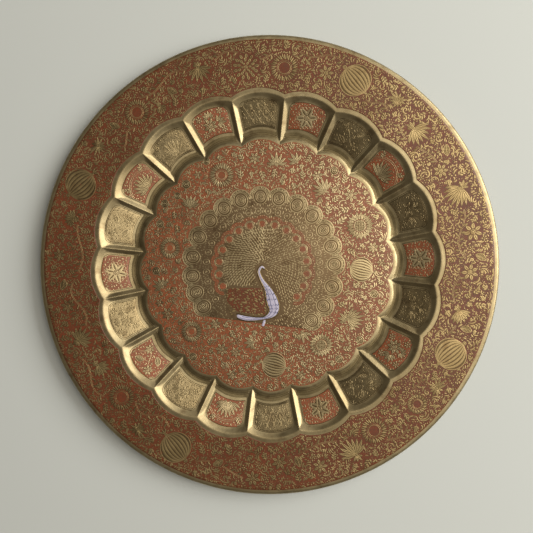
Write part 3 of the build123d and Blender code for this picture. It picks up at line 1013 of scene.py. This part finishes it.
def in_rim(x, y):
    far, local = sector_frame(x, y)
    return (beyond(LIP_OUTER, far, local) > 0.45) & (far < FIELD_OUTER - 0.45)


def chase_rim():
    rim = Stretch("rim", in_rim, LIP_OUTER[1], FIELD_OUTER)
    for angle, far in RIM_MELONS:
        place = Place(far, angle, -26)
        rim.set(melon, place, 12.9)
        rim.ground.claim(place.put(np.array([13.0, 15.0, -13.0])), 2.3)
    for angle, far in RIM_STARS:
        place = Place(far, angle)
        rim.set(starburst, place, 6.0)
        rim.ground.claim(place.put(-7.0), 2.2)
    for angle, far, size in RIM_WREATHS:
        rim.set(wreath, Place(far, angle, 0, size), 11.3 * size)
    for angle, far, first, last, count, length in RIM_FANS:
        place = Place(far, angle)
        ink = rim.ink_at(place.spot)
        middle = (first + last) / 2
        fan_of_petals(ink, place, first, last, count, length, 2.3)
        fan_of_petals(ink, place, middle + 128, middle + 232, 4, length * 0.42, 1.6)
        disc(ink, place, 0, 1.2)
        rim.ground.claim(place.spot, length * 0.42)
        rim.claim_fan(place, first, last, count, length, 0.2, 1.3)
    rim.set(rosette, Place(RIM_ROSE[1], RIM_ROSE[0]), 10.6)
    for angle, far, size in RIM_DAISIES:
        rim.set(daisy, Place(far, angle, 0, size), 6.0 * size)
    for angle, far, turn in RIM_STRIPED:
        place = Place(far, angle, turn)
        striped_leaf(rim.ink_at(place.spot), place)
        rim.ground.claim(place.put(np.linspace(-3, 3, 7) * 1j), 2.6)
    for start, stop, middle, sway in VINES:
        vine(rim.ink_at(polar(150, (start + stop) / 2)), rim.ground, start, stop, middle, sway)
    rim.scatter(500, 3.6, leaf_spray)
    rim.scatter(400, 3.0, lambda ink, place: bud(ink, place, 4.2, 2.6))
    rim.scatter(300, 2.3, lambda ink, place: daisy(ink, place, 5, 2.3, 0.6))
    rim.finish(swirl_field(9.0, 11), 5, pitch=0.86, half=0.50, length=(4.0, 13.0), edging=0.2)


# ---------------- the medallion

# Large motifs by place: x, y, size
MEDALLION_MELONS = ((74.0, -3.0, 0.76), (6.0, -78.0, 0.80))
MEDALLION_WREATHS = ((-35.0, 71.0, 0.95), (-59.0, -52.0, 0.82), (-76.0, 14.0, 0.82))
MEDALLION_SUNFLOWERS = ((73.0, 31.0, 1.05), (43.0, -62.0, 0.92))
MEDALLION_FANS = ((63, -42, 60, -50, 8, 13.0), (63, -42, 200, 110, 4, 8.0), (-60, 46, 150, 20, 7, 10.0),
                  (46, 58, 200, 60, 7, 11.0), (8, 79, 170, 10, 7, 9.5), (24, 81, 190, 60, 5, 8.0),
                  (-10, -60, 250, 120, 5, 8.0), (-82, -17, 200, 60, 6, 9.0), (28, -52, -20, -110, 4, 9.0))
MEDALLION_DAISIES = ((-35, -66, 0.95), (-24, -68, 0.8), (-40, -46, 0.8), (-27, -86, 0.8), (66, 55, 1.0),
                     (27, -86, 0.8), (-9, 84, 0.85), (-78, -38, 0.95), (40, 70, 0.8), (83, 14, 0.8))
SMALL_DAISY_RING = 89.5
MEDALLION_BUDS = (
    (-63, 64, 1.0), (-70, 55, 0.8), (-80, 49, 0.9), (-87, -4, 0.9), (-84, 33, 0.9), (53, 74, 0.9),
    (84, -22, 0.9), (73, -58, 0.9), (57, -73, 0.9), (-58, -72, 0.9), (-47, 82, 0.8))


def feather_outline(angle):
    """Reach of the fan's scalloped edge from the fan's own centre, by direction."""
    angle = np.asarray(angle, float)
    far = np.full(angle.shape, FEATHER_RING + 2.6)
    for feather in FEATHER_ANGLES:
        gap = np.radians(angle - feather)
        across = FEATHER_RING * np.sin(gap)
        room = FEATHER_REACH ** 2 - across ** 2
        hit = FEATHER_RING * np.cos(gap) + np.sqrt(np.maximum(room, 0.0))
        far = np.where((room > 0) & (np.cos(gap) > 0), np.maximum(far, hit), far)
    chord = 43.5 / np.maximum(-np.sin(np.radians(angle + 7.0)), 1e-3)
    last, first = FEATHER_ANGLES[-1], FEATHER_ANGLES[0] + 360
    turned = np.mod(angle, 360)
    open_side = (turned > last + 3) & (turned < first - 3) & (np.sin(np.radians(angle)) < 0)
    return np.where(open_side, np.minimum(far, chord), far)


def in_fan(x, y, grow=0.0):
    gap = x + 1j * y - FAN_CENTRE
    return np.abs(gap) < feather_outline(np.degrees(np.angle(gap))) + grow


def in_medallion_ring(x, y):
    far, local = sector_frame(x, y)
    close = far < 75
    fan = np.zeros(x.shape, bool)
    fan[close] = in_fan(x[close], y[close], 0.8)
    return (beyond(MEDALLION_FIELD, far, local) < -0.9) & ~fan


def chase_medallion():
    belt = Stretch("medallion", in_medallion_ring, 50.0, MEDALLION_FIELD[0], bright=RUBBED_BRASS)
    belt.ground.claim(np.array([complex(-22, -41), complex(-12, -42), complex(-2, -44.5)]), 3.0)
    for x, y, size in MEDALLION_MELONS:
        belt.set(melon, level_place(x, y, -14, size), 12.9 * size)
    for x, y, size in MEDALLION_WREATHS:
        belt.set(lambda ink, place: wreath(ink, place, core=3.4), level_place(x, y, 0, size), 11.3 * size)
    for x, y, size in MEDALLION_SUNFLOWERS:
        belt.set(sunflower, level_place(x, y, 0, size), 10.8 * size)
    for x, y, first, last, count, length in MEDALLION_FANS:
        place = level_place(x, y)
        ink = belt.ink_at(place.spot)
        fan_of_petals(ink, place, first, last, count, length, 2.0)
        disc(ink, place, 0, 1.1)
        belt.claim_fan(place, first, last, count, length, 0.1, 1.2)
    for x, y, size in MEDALLION_DAISIES:
        belt.set(daisy, level_place(x, y, 0, size), 6.0 * size)
    for x, y, size in MEDALLION_BUDS:
        belt.set(round_bud, level_place(x, y, RNG.uniform(-90, 90), size), 4.0 * size)
    for angle in WELL_ANGLES:
        place = Place(SMALL_DAISY_RING, angle + RNG.uniform(-2, 2), 0, 0.9)
        if belt.ground.free(place.spot, 3.0):
            belt.set(lambda ink, place: daisy(ink, place, 6, 3.9, 1.0), place, 4.0)
    belt.scatter(400, 3.4, leaf_spray)
    belt.scatter(300, 2.9, lambda ink, place: bud(ink, place, 4.0, 2.4))
    belt.scatter(200, 2.2, lambda ink, place: daisy(ink, place, 5, 2.2, 0.55))
    belt.finish(swirl_field(8.0, 12), 6, pitch=0.8, half=0.47, length=(3.5, 11.0), edging=0.16)


# ---------------- the bird's fan

def fan_place(far, angle, turn=0.0):
    return Place(far, angle, turn, hub=FAN_CENTRE)


def fan_ground():
    """The brass ground of the fan, out to its scalloped edge."""
    angles = np.arange(0.0, 360.0, 1.0)
    edge = feather_outline(angles)
    layers = []
    for share in (0.02, 0.12, 0.24, 0.36, 0.48, 0.6, 0.7, 0.8, 0.88, 0.94, 0.985, 1.0):
        spots = FAN_CENTRE + polar(edge * share, angles)
        lift = FILL - 0.05 if share == 1.0 else FILL + 0.06
        layers.append(np.column_stack([spots.real, spots.imag, surface(spots.real, spots.imag) + lift]))
    faces = grid_faces(len(layers), len(angles), closed=True)
    hub = np.array([[FAN_CENTRE.real, FAN_CENTRE.imag, layers[0][0, 2]]])
    points = np.concatenate(layers + [hub])
    faces += [(len(points) - 1, column, (column + 1) % len(angles)) for column in range(len(angles))]
    mark(add_piece("fan_ground", points, faces, FAN_BRASS), "brass_sheet")


# Small circlets between the two rows of eyes
CIRCLET_RING = 44.6
CIRCLET_START = -44
CIRCLET_STEP = 9.9
CIRCLET_COUNT = 27


def feather_eye(ink, place, ground):
    """An eye of the outer row: rings round a cross-cut core, under an arch of two lines."""
    bed(ink, place, 0, 0, 2.3)
    bed(ink, place, 0, 4.2, 5.0, 1.1)
    for radius, width in ((5.4, 0.6), (3.7, 0.5), (2.5, 0.46)):
        ring(ink, place, 0, radius, width, tall=1.1)
    for offset in (-1.2, 0.0, 1.2):
        cross(ink, place, offset, 1.8, 0.24, steps=3)
    ink.dark.ribbon(place.put(arc(0j, 7.2, -12, 192, 19)), 0.5)
    ink.dark.ribbon(place.put(arc(0j, 6.1, 0, 180, 19)), 0.3)
    for radius in (6.6, 7.8):
        stroke(ink, place, arc(0j, radius, -12, 192, 19), 0.5)
    ground.claim(place.spot, 6.2)


def red_eyes():
    """The red eyes of the inner row, each level with its brass ring."""
    eyes = Chasing("feather_eyes_red", RUBBED_RED, FILL + 0.08, FILL + 0.19)
    for angle in RED_EYES:
        place = fan_place(RED_EYE_RING, angle)
        eyes.ribbon(place.spot + arc(0, 1.0, 0, 360, 17) * 1.25, 1.3)
        for radius in (4.9, 6.3):
            eyes.ribbon(place.put(arc(0j, radius, 15, 165, 11)), 0.5)
    mark(eyes.piece(), "red_lacquer", "feather_eye_lacquer")


def chase_fan():
    outer, inner = [Ink(name, FILL + 0.04, bright=RUBBED_BRASS) for name in ("fan_outer", "fan_inner")]
    ground = Ground(in_fan)
    for angle in FEATHER_ANGLES:
        feather_eye(outer, fan_place(FEATHER_RING, angle), ground)
    outline_angles = np.linspace(FEATHER_ANGLES[0] - 6, FEATHER_ANGLES[-1] + 6, 420)
    edge = FAN_CENTRE + polar(feather_outline(outline_angles) - 0.1, outline_angles)
    outer.bright.ribbon(edge, 0.24)
    for step in range(CIRCLET_COUNT):
        place = fan_place(CIRCLET_RING, CIRCLET_START + step * CIRCLET_STEP)
        ring(outer, place, 0, 2.2, 0.4, tall=1.15, steps=13)
        disc(outer, place, 0, 0.8)
        ground.claim(place.spot, 2.9)
    for angle in RED_EYES:
        place = fan_place(RED_EYE_RING, angle)
        ring(inner, place, 0, 2.9, 0.34, steps=15)
        stroke(inner, place, bent(-2.5 + 1.0j, -6.6j, 0.14, 7), 0.34)
        stroke(inner, place, bent(2.5 + 1.0j, -6.6j, -0.14, 7), 0.34)
        stroke(inner, place, arc(0j, 3.8, 0, 180, 9), 0.34)
        ground.claim(place.spot, 3.3)
    ground.claim(BIRD_CLEARANCE, 3.0)
    x, y = cell_centres()
    ground.taken |= (x > -31) & (x < 3) & (y < -16) & (y > -41)
    barbs(inner, ground)
    far = x + 1j * y - FAN_CENTRE
    heading = far / np.maximum(np.abs(far), 1e-6) * np.exp(0.12j)
    sector = (np.degrees(np.angle(far)) // 6).astype(int)
    band = np.digitize(np.abs(far), (38.5, 41.5, 47.8, 51.0))
    fill(lambda spot: outer, ground, (heading, sector * 8 + band), np.random.default_rng(8),
         pitch=1.05, half=0.38, length=(1.6, 4.2), edging=0.22)
    outer.finish()
    inner.finish()


def barbs(ink, ground):
    """Short slanting strokes in rings, bolder to the left of the bird."""
    for row, far in enumerate(np.arange(5.0, 32.0, 2.3)):
        count = int(2 * math.pi * far / 2.0)
        for step in range(count):
            angle = (step + 0.5 * (row % 2)) * 360 / count
            place = fan_place(far, angle, RNG.uniform(-8, 8))
            if not ground.free(place.spot, 0.5):
                continue
            left = 88 < angle < 232
            slant = -0.5 if left else 0.35
            half = 1.05 if left else 0.75
            line = np.linspace(-1, 1, 4) * (slant + 1j) * half
            ink.dark.ribbon(place.put(line * 1.2), (1.0 if left else 0.7) * np.array((0.7, 1.0, 1.0, 0.7)))
            ink.bright.ribbon(place.put(line), (0.5 if left else 0.3) * np.array((0.6, 1.0, 1.0, 0.5)))
            ground.claim(place.spot, 0.95)


# ---------------- the bird and the red ground beside it

BIRD_LEFT = (-0.9 - 1.5j, -3.0 + 0.1j, -5.6 - 1.8j, -6.5 - 5.1j, -5.3 - 9.3j, -4.0 - 12.4j, -2.3 - 15.8j,
             -1.0 - 19.0j, -0.2 - 24.5j, 1.1 - 30.8j, 2.4 - 34.0j, 1.1 - 37.5j, -1.6 - 39.9j, -5.0 - 40.3j,
             -10.1 - 40.1j, -17.2 - 39.0j, -23.3 - 37.6j)
BIRD_RIGHT = (-1.1 - 2.6j, -3.2 - 1.7j, -4.1 - 2.9j, -4.6 - 5.2j, -3.2 - 8.6j, -1.2 - 11.6j, 2.0 - 15.2j,
              5.0 - 18.8j, 8.3 - 24.0j, 10.4 - 30.0j, 10.3 - 34.5j, 8.2 - 38.6j, 3.3 - 41.0j, -4.9 - 42.6j,
              -11.6 - 43.1j, -17.0 - 42.9j, -22.7 - 41.0j)
BIRD_FOOT = ((-2.2 - 42.4j, -3.6 - 47.0j), (-0.2 - 42.2j, -1.6 - 47.4j))
BIRD_CLEARANCE = np.concatenate([np.array(BIRD_LEFT), np.array(BIRD_RIGHT)])
TRAIN_LEFT = (-30.5 - 17.5j, -33.0 - 24.0j, -30.0 - 31.0j, -22.5 - 36.4j)
TRAIN_ROOT = 4 - 46j
TRAIN_RIGHT = (-1.8 - 17.0j, -0.2 - 24.0j, 1.2 - 31.0j, 0.4 - 38.6j)


def bird():
    """The enamelled bird: pale body, neck and tail, with blue scales and brass edges."""
    patches = [(BIRD_LEFT, BIRD_RIGHT, 64), (*BIRD_FOOT, 6)]
    mark(build_lens("peacock_pale", patches, PALE, FILL + 0.16, 0.16), "pale_enamel", "peacock_pale_enamel")
    blue = Chasing("peacock_blue", BLUE, FILL + 0.24, FILL + 0.36)
    rims = Chasing("peacock_edges", BRIGHT, FILL + 0.18, FILL + 0.36)
    shade = Chasing("peacock_outline", ENGRAVED, FILL + 0.12, FILL + 0.20)
    left, right = smooth_line(BIRD_LEFT, 90), smooth_line(BIRD_RIGHT, 90)
    for line in (left, right):
        shade.ribbon(line, 0.75)
    for share, start, stop in ((0.5, 8, 34), (0.3, 36, 86), (0.68, 38, 88)):
        blue.ribbon(left[start:stop] + (right - left)[start:stop] * share, 0.36)
    for row in range(34, 60, 4):
        span = right[row] - left[row]
        count = max(2, int(abs(span) / 2.1))
        for step in range(count):
            share = (step + 0.5 + 0.25 * (row % 8 == 2)) / (count + 0.5)
            spot = left[row] + span * share
            blue.ribbon(spot + arc(0j, 0.82, 160, 380, 7), 0.3)
    for line in (left[:66], right[4:78]):
        rims.ribbon(line, 0.22)
    rims.ribbon(-1.0 - 2.2j + np.array([0.0, 1.2 - 1.0j, 2.4 - 2.2j]), 0.3)
    mark(blue.piece(), "blue_enamel", "peacock_blue_enamel")
    mark(rims.piece(), "brass_sheet")
    mark(shade.piece(), "brass_sheet")


def train():
    """The red ground between the tail and the neck, with leaves bowed across it."""
    mark(build_lens("train_red", [(TRAIN_LEFT, TRAIN_RIGHT, 24)], RED, FILL + 0.14, 0.03),
         "red_lacquer", "train_lacquer")
    ink = Ink("train", FILL + 0.18)
    x, y = cell_centres()
    far = x + 1j * y - TRAIN_ROOT
    angle = np.degrees(np.angle(far))
    ground = Ground(lambda x, y: (x > -31.5) & (x < 2.0) & (y < -17.5) & (y > -38.5)
                    & (y > -17.5 - (x + 34) * 4))
    ground.claim(smooth_line(BIRD_LEFT, 80), 1.6)
    heading = far / np.abs(far) * np.exp(0.5j)
    field = (heading, (np.abs(far) // 5).astype(int) * 100 + (angle // 9).astype(int))
    fill(lambda spot: ink, ground, field, np.random.default_rng(9), pitch=1.0, half=0.62,
         length=(3.0, 6.0), edging=0.25, shortest=2)
    ink.finish()


# ---------------- the wells

def blossom(ink, place, count=6, length=8.6):
    """A large open flower whose petals have scalloped tips."""
    for step in range(count):
        way = spoke(step + 0.25, count)
        petal(ink, place, 1.8 * way, length * way, 5.0, 0.0, fat=0.66, steps=8)
        for lean in (-0.32, 0.0, 0.32):
            tip = way * np.exp(1j * lean)
            ring(ink, place, tip * length * (0.86 if lean else 0.98), 1.25, 0.42, steps=9)
        petal(ink, place, 2.0 * way * np.exp(0.52j), 0.62 * length * way * np.exp(0.52j), 1.1)
    disc(ink, place, 0, 1.6)


def arch_of_leaves(ink, place):
    """Leaves spread from the well's inner side under two round arches."""
    root = place.nested(-8.6j)
    fan_of_petals(ink, root, 158, 22, 9, 13.5, 2.0, clear=3.2)
    fan_of_petals(ink, root, 150, 30, 6, 6.4, 1.7, clear=1.0)
    for radius in (15.0, 16.2):
        stroke(ink, root, arc(0j, radius, 26, 154, 21), 0.4)
    for side in (-1, 1):
        leaf_spray(ink, place.nested(side * 10.6 + 5.2j, side * -40), 4, 4.2)


def sprig(ink, place):
    """A daisy with leaves and small flowers spread over the floor."""
    daisy(ink, place.nested(-2.5 - 1.0j), 8, 6.0, 1.7)
    fan_of_petals(ink, place.nested(4.0 - 1.0j), 70, -70, 6, 7.5, 1.8)
    fan_of_petals(ink, place.nested(-1.0 + 4.6j), 165, 20, 6, 6.0, 1.7)
    for x, y in ((-9.4, 6.6), (9.4, 7.0), (-8.6, -6.6), (7.4, -7.4)):
        daisy(ink, place.nested(complex(x, y)), 6, 2.9, 0.8)


def lattice(ink, place):
    """Crossed bars with a leaf in each opening, under a pointed arch."""
    for offset in (-9.0, -3.0, 3.0, 9.0):
        stroke(ink, place, np.array([offset - 4.0 + 8.0j, offset + 0j, offset + 4.0 - 8.0j]), 0.42)
        stroke(ink, place, np.array([offset + 4.0 + 8.0j, offset + 0j, offset - 4.0 - 8.0j]), 0.42)
    for x in (-6.0, 0.0, 6.0):
        for y in (-5.4, 0.2, 5.8):
            petal(ink, place, complex(x, y - 2.0), complex(x, y + 2.2), 1.9)
    for bow in (-0.14, 0.14):
        stroke(ink, place, bent(complex(-bow * 80, -8.0), 9.4j, bow, 9), 0.4)


def winding(ink, place):
    """A scrolling stem with broad striped leaves."""
    t = np.linspace(0, 1, 19)
    stroke(ink, place, (t - 0.5) * 21 + 1j * 4.2 * np.sin(t * 2.2 * np.pi), 0.45)
    striped_leaf(ink, place.nested(-5.6 - 4.6j, 62), 8.0, 4.4)
    striped_leaf(ink, place.nested(5.4 + 5.2j, -58), 8.0, 4.4)
    daisy(ink, place.nested(6.6 - 5.0j), 7, 4.0, 1.1)
    daisy(ink, place.nested(-6.8 + 5.4j), 7, 4.2, 1.1)
    scroll(ink, place.nested(0.4 + 0.2j), 2.6)


WELL_DESIGNS = (
    blossom, sprig, arch_of_leaves, winding, blossom, lattice, sprig, arch_of_leaves, arch_of_leaves, winding,
    blossom, sprig, winding, sprig, arch_of_leaves, lattice, blossom, winding, sprig, sprig)


# How far beyond the medallion's edge the rows of the darker strip run
FOOT_ROWS = (0.9, 1.2, 2.4, 3.6, 4.8, 5.9, 6.4)


def foot_band(angle):
    """A grid over the strip of darker brass between the medallion's step and one well's field."""
    sides = np.linspace(-1, 1, 13)
    return np.array([settled_row(angle, sides, FOOT_GUESS, 0.55 * RIDGE_RUN + 0.12 * out, reach_at)
                     for out, reach_at in zip(FOOT_ROWS, offset_rows(MEDALLION_EDGE, FOOT_ROWS))])


def frame_line(ink, angle, margin, width=0.34):
    """A thin line that runs inside the floor's edge."""
    grid = well_floor(angle, margin)
    loop = np.concatenate([grid[:, 0], grid[-1, 1:], grid[-2::-1, -1], grid[0, -2::-1]])
    keep = np.concatenate([[True], np.abs(np.diff(loop)) > 0.15])
    ink.line.ribbon(loop[keep], width / 2)


def wells():
    """Every floor: red and plain by turns, each with its own chasing."""
    plain_grids = [well_floor(angle, 0.2) for angle in WELL_ANGLES[1::2]]
    mark(build_floor("wells_plain_ground", plain_grids, PATINA, FILL - 0.03), "brass_sheet")
    for number, angle in enumerate(WELL_ANGLES[::2], start=1):
        mark(build_floor(f"well_{number:02d}_red", [well_floor(angle, 0.9)], RUBBED_RED),
             "red_lacquer", f"well_lacquer_{number:02d}")
    feet = [foot_band(angle) for angle in WELL_ANGLES]
    # The strip at the foot of the medallion's step is drawn in the darker FOOT brass
    mark(build_floor("wells_foot_band", feet, FOOT, BED), "brass_sheet")
    borders = Chasing("wells_borders", ENGRAVED, 0.05, 0.11)
    for grid in feet:
        for row in (2, 3):
            borders.ribbon(grid[row], 0.17)
    mark(borders.piece(), "brass_sheet")
    red_ink = Ink("wells_red", bright=RUBBED_BRASS)
    plain_ink = Ink("wells_plain", FILL - 0.03, bright=PATINA, dark=ETCHED)
    field = swirl_field(5.2, 14)
    generator = np.random.default_rng(7)
    x, y = cell_centres()
    far, local = sector_frame(x, y)
    inside = beyond(MEDALLION_EDGE, far, local) > FIELD_START + 2.1
    inside &= beyond(LIP_INNER, far, local) < -LIP_RUN - 2.1
    inside &= ridge_gap(far, local) > RIDGE_RUN + 2.2
    for number, (angle, design) in enumerate(zip(WELL_ANGLES, WELL_DESIGNS)):
        red = number % 2 == 0
        ink = red_ink if red else plain_ink
        for margin in ((1.1,) if red else (0.7, 1.7)):
            frame_line(ink, angle, margin)
        place = Place(WELL_MIDDLE, angle, RNG.uniform(-6, 6), 0.94 if red else 0.9)
        before = len(ink.bright.rows)
        design(ink, place)
        middle = polar(WELL_MIDDLE, angle)
        ground_here = Ground(lambda x, y: inside & (np.abs(x + 1j * y - middle) < WELL_REACH))
        for rows in ink.bright.rows[before:]:
            ground_here.claim(rows[:, 0] + 1j * rows[:, 1], 0.85)
        fill(lambda spot: ink, ground_here, field, generator, pitch=1.05, half=0.44 if red else 0.36,
             length=(1.6, 4.5), edging=0.12 if red else 0.2)
    red_ink.finish()
    plain_ink.finish()


# ---------------- the whole plate

mark(build_plate(SHEET_BRASS), "brass_sheet", "plate_body")

rim_rows = offset_rows(LIP_OUTER, (0.0, 0.05, 0.6, 2.0))
rim_rows += [between(rim_rows[-1], lambda local: FIELD_OUTER, share)
             for share in (0.06, 0.14, 0.24, 0.36, 0.48, 0.6, 0.72, 0.84, 0.94, 0.995, 1.0)]
mark(build_skin("rim_red", rim_rows, RED), "red_lacquer", "rim_lacquer", "rim_blossom_lacquer")

field_rows = [blended(MEDALLION_FIELD, share, 97.0)
              for share in (0.38, 0.39, 0.46, 0.54, 0.62, 0.7, 0.78, 0.86, 0.93, 0.97, 0.99, 1.0)]
mark(build_skin("medallion_red", field_rows, RUBBED_RED), "red_lacquer", "medallion_lacquer")

chase_rim()
chase_medallion()
fan_ground()
red_eyes()
chase_fan()
train()
bird()
wells()

# ---------------- stage, lights and camera

def area_light(name, azimuth, elevation, distance, size, power, colour):
    """A soft light in a direction from the plate, facing it."""
    data = bpy.data.lights.new(name, "AREA")
    data.shape = "RECTANGLE"
    data.size, data.size_y = size
    data.energy = power
    data.color = colour
    lamp = bpy.data.objects.new(name, data)
    bpy.context.scene.collection.objects.link(lamp)
    flat = distance * math.cos(math.radians(elevation))
    place = Vector((flat * math.cos(math.radians(azimuth)), flat * math.sin(math.radians(azimuth)),
                    distance * math.sin(math.radians(elevation))))
    lamp.location = place
    lamp.rotation_euler = (-place).to_track_quat("-Z", "Y").to_euler()


def stage():
    """A plain pale floor, a hair below the plate."""
    material, _, shader = new_material("pale_floor")
    shader.inputs["Base Color"].default_value = (0.55, 0.58, 0.58, 1.0)
    shader.inputs["Roughness"].default_value = 0.9
    mesh = bpy.data.meshes.new("floor")
    half = 3.0
    corners = [(-half, -half, 0), (half, -half, 0), (half, half, 0), (-half, half, 0)]
    mesh.from_pydata(corners, [], [(0, 1, 2, 3)])
    floor = bpy.data.objects.new("floor", mesh)
    floor.location = (0, 0, -0.0002)
    bpy.context.scene.collection.objects.link(floor)
    mesh.materials.append(material)


def world(strength):
    sky = bpy.data.worlds.new("studio")
    bpy.context.scene.world = sky
    sky.use_nodes = True
    sky.node_tree.nodes["Background"].inputs["Color"].default_value = (1.0, 0.90, 0.74, 1.0)
    sky.node_tree.nodes["Background"].inputs["Strength"].default_value = strength


# The camera: its focal length for a width of 1, its lean about Y and X, and where it sees the plate's lip
FOCAL_SHARE = 600 / 533
LEAN = (-2.6, 0.85)
SEEN_AT = (-0.6, 0.5, -463.0)


def camera():
    """Straight above the plate, with the small lean that the photograph has."""
    data = bpy.data.cameras.new("camera")
    data.sensor_width = 36
    data.lens = data.sensor_width * FOCAL_SHARE
    data.clip_start = 0.01
    eye = bpy.data.objects.new("camera", data)
    bpy.context.scene.collection.objects.link(eye)
    lean = Matrix.Rotation(math.radians(LEAN[0]), 3, "Y") @ Matrix.Rotation(math.radians(LEAN[1]), 3, "X")
    back = lean.transposed()
    place = Vector((0, 0, LIP * MM)) - back @ (Vector(SEEN_AT) * MM)
    eye.matrix_world = Matrix.Translation(place) @ back.to_4x4()
    bpy.context.scene.camera = eye


bpy.context.scene.view_settings.view_transform = "Standard"
stage()
world(0.115)
area_light("window", 18, 27, 2.3, (2.4, 1.15), 72, (1.0, 0.97, 0.89))
area_light("ceiling", 12, 60, 2.0, (1.4, 1.4), 21, (1.0, 0.92, 0.78))
camera()
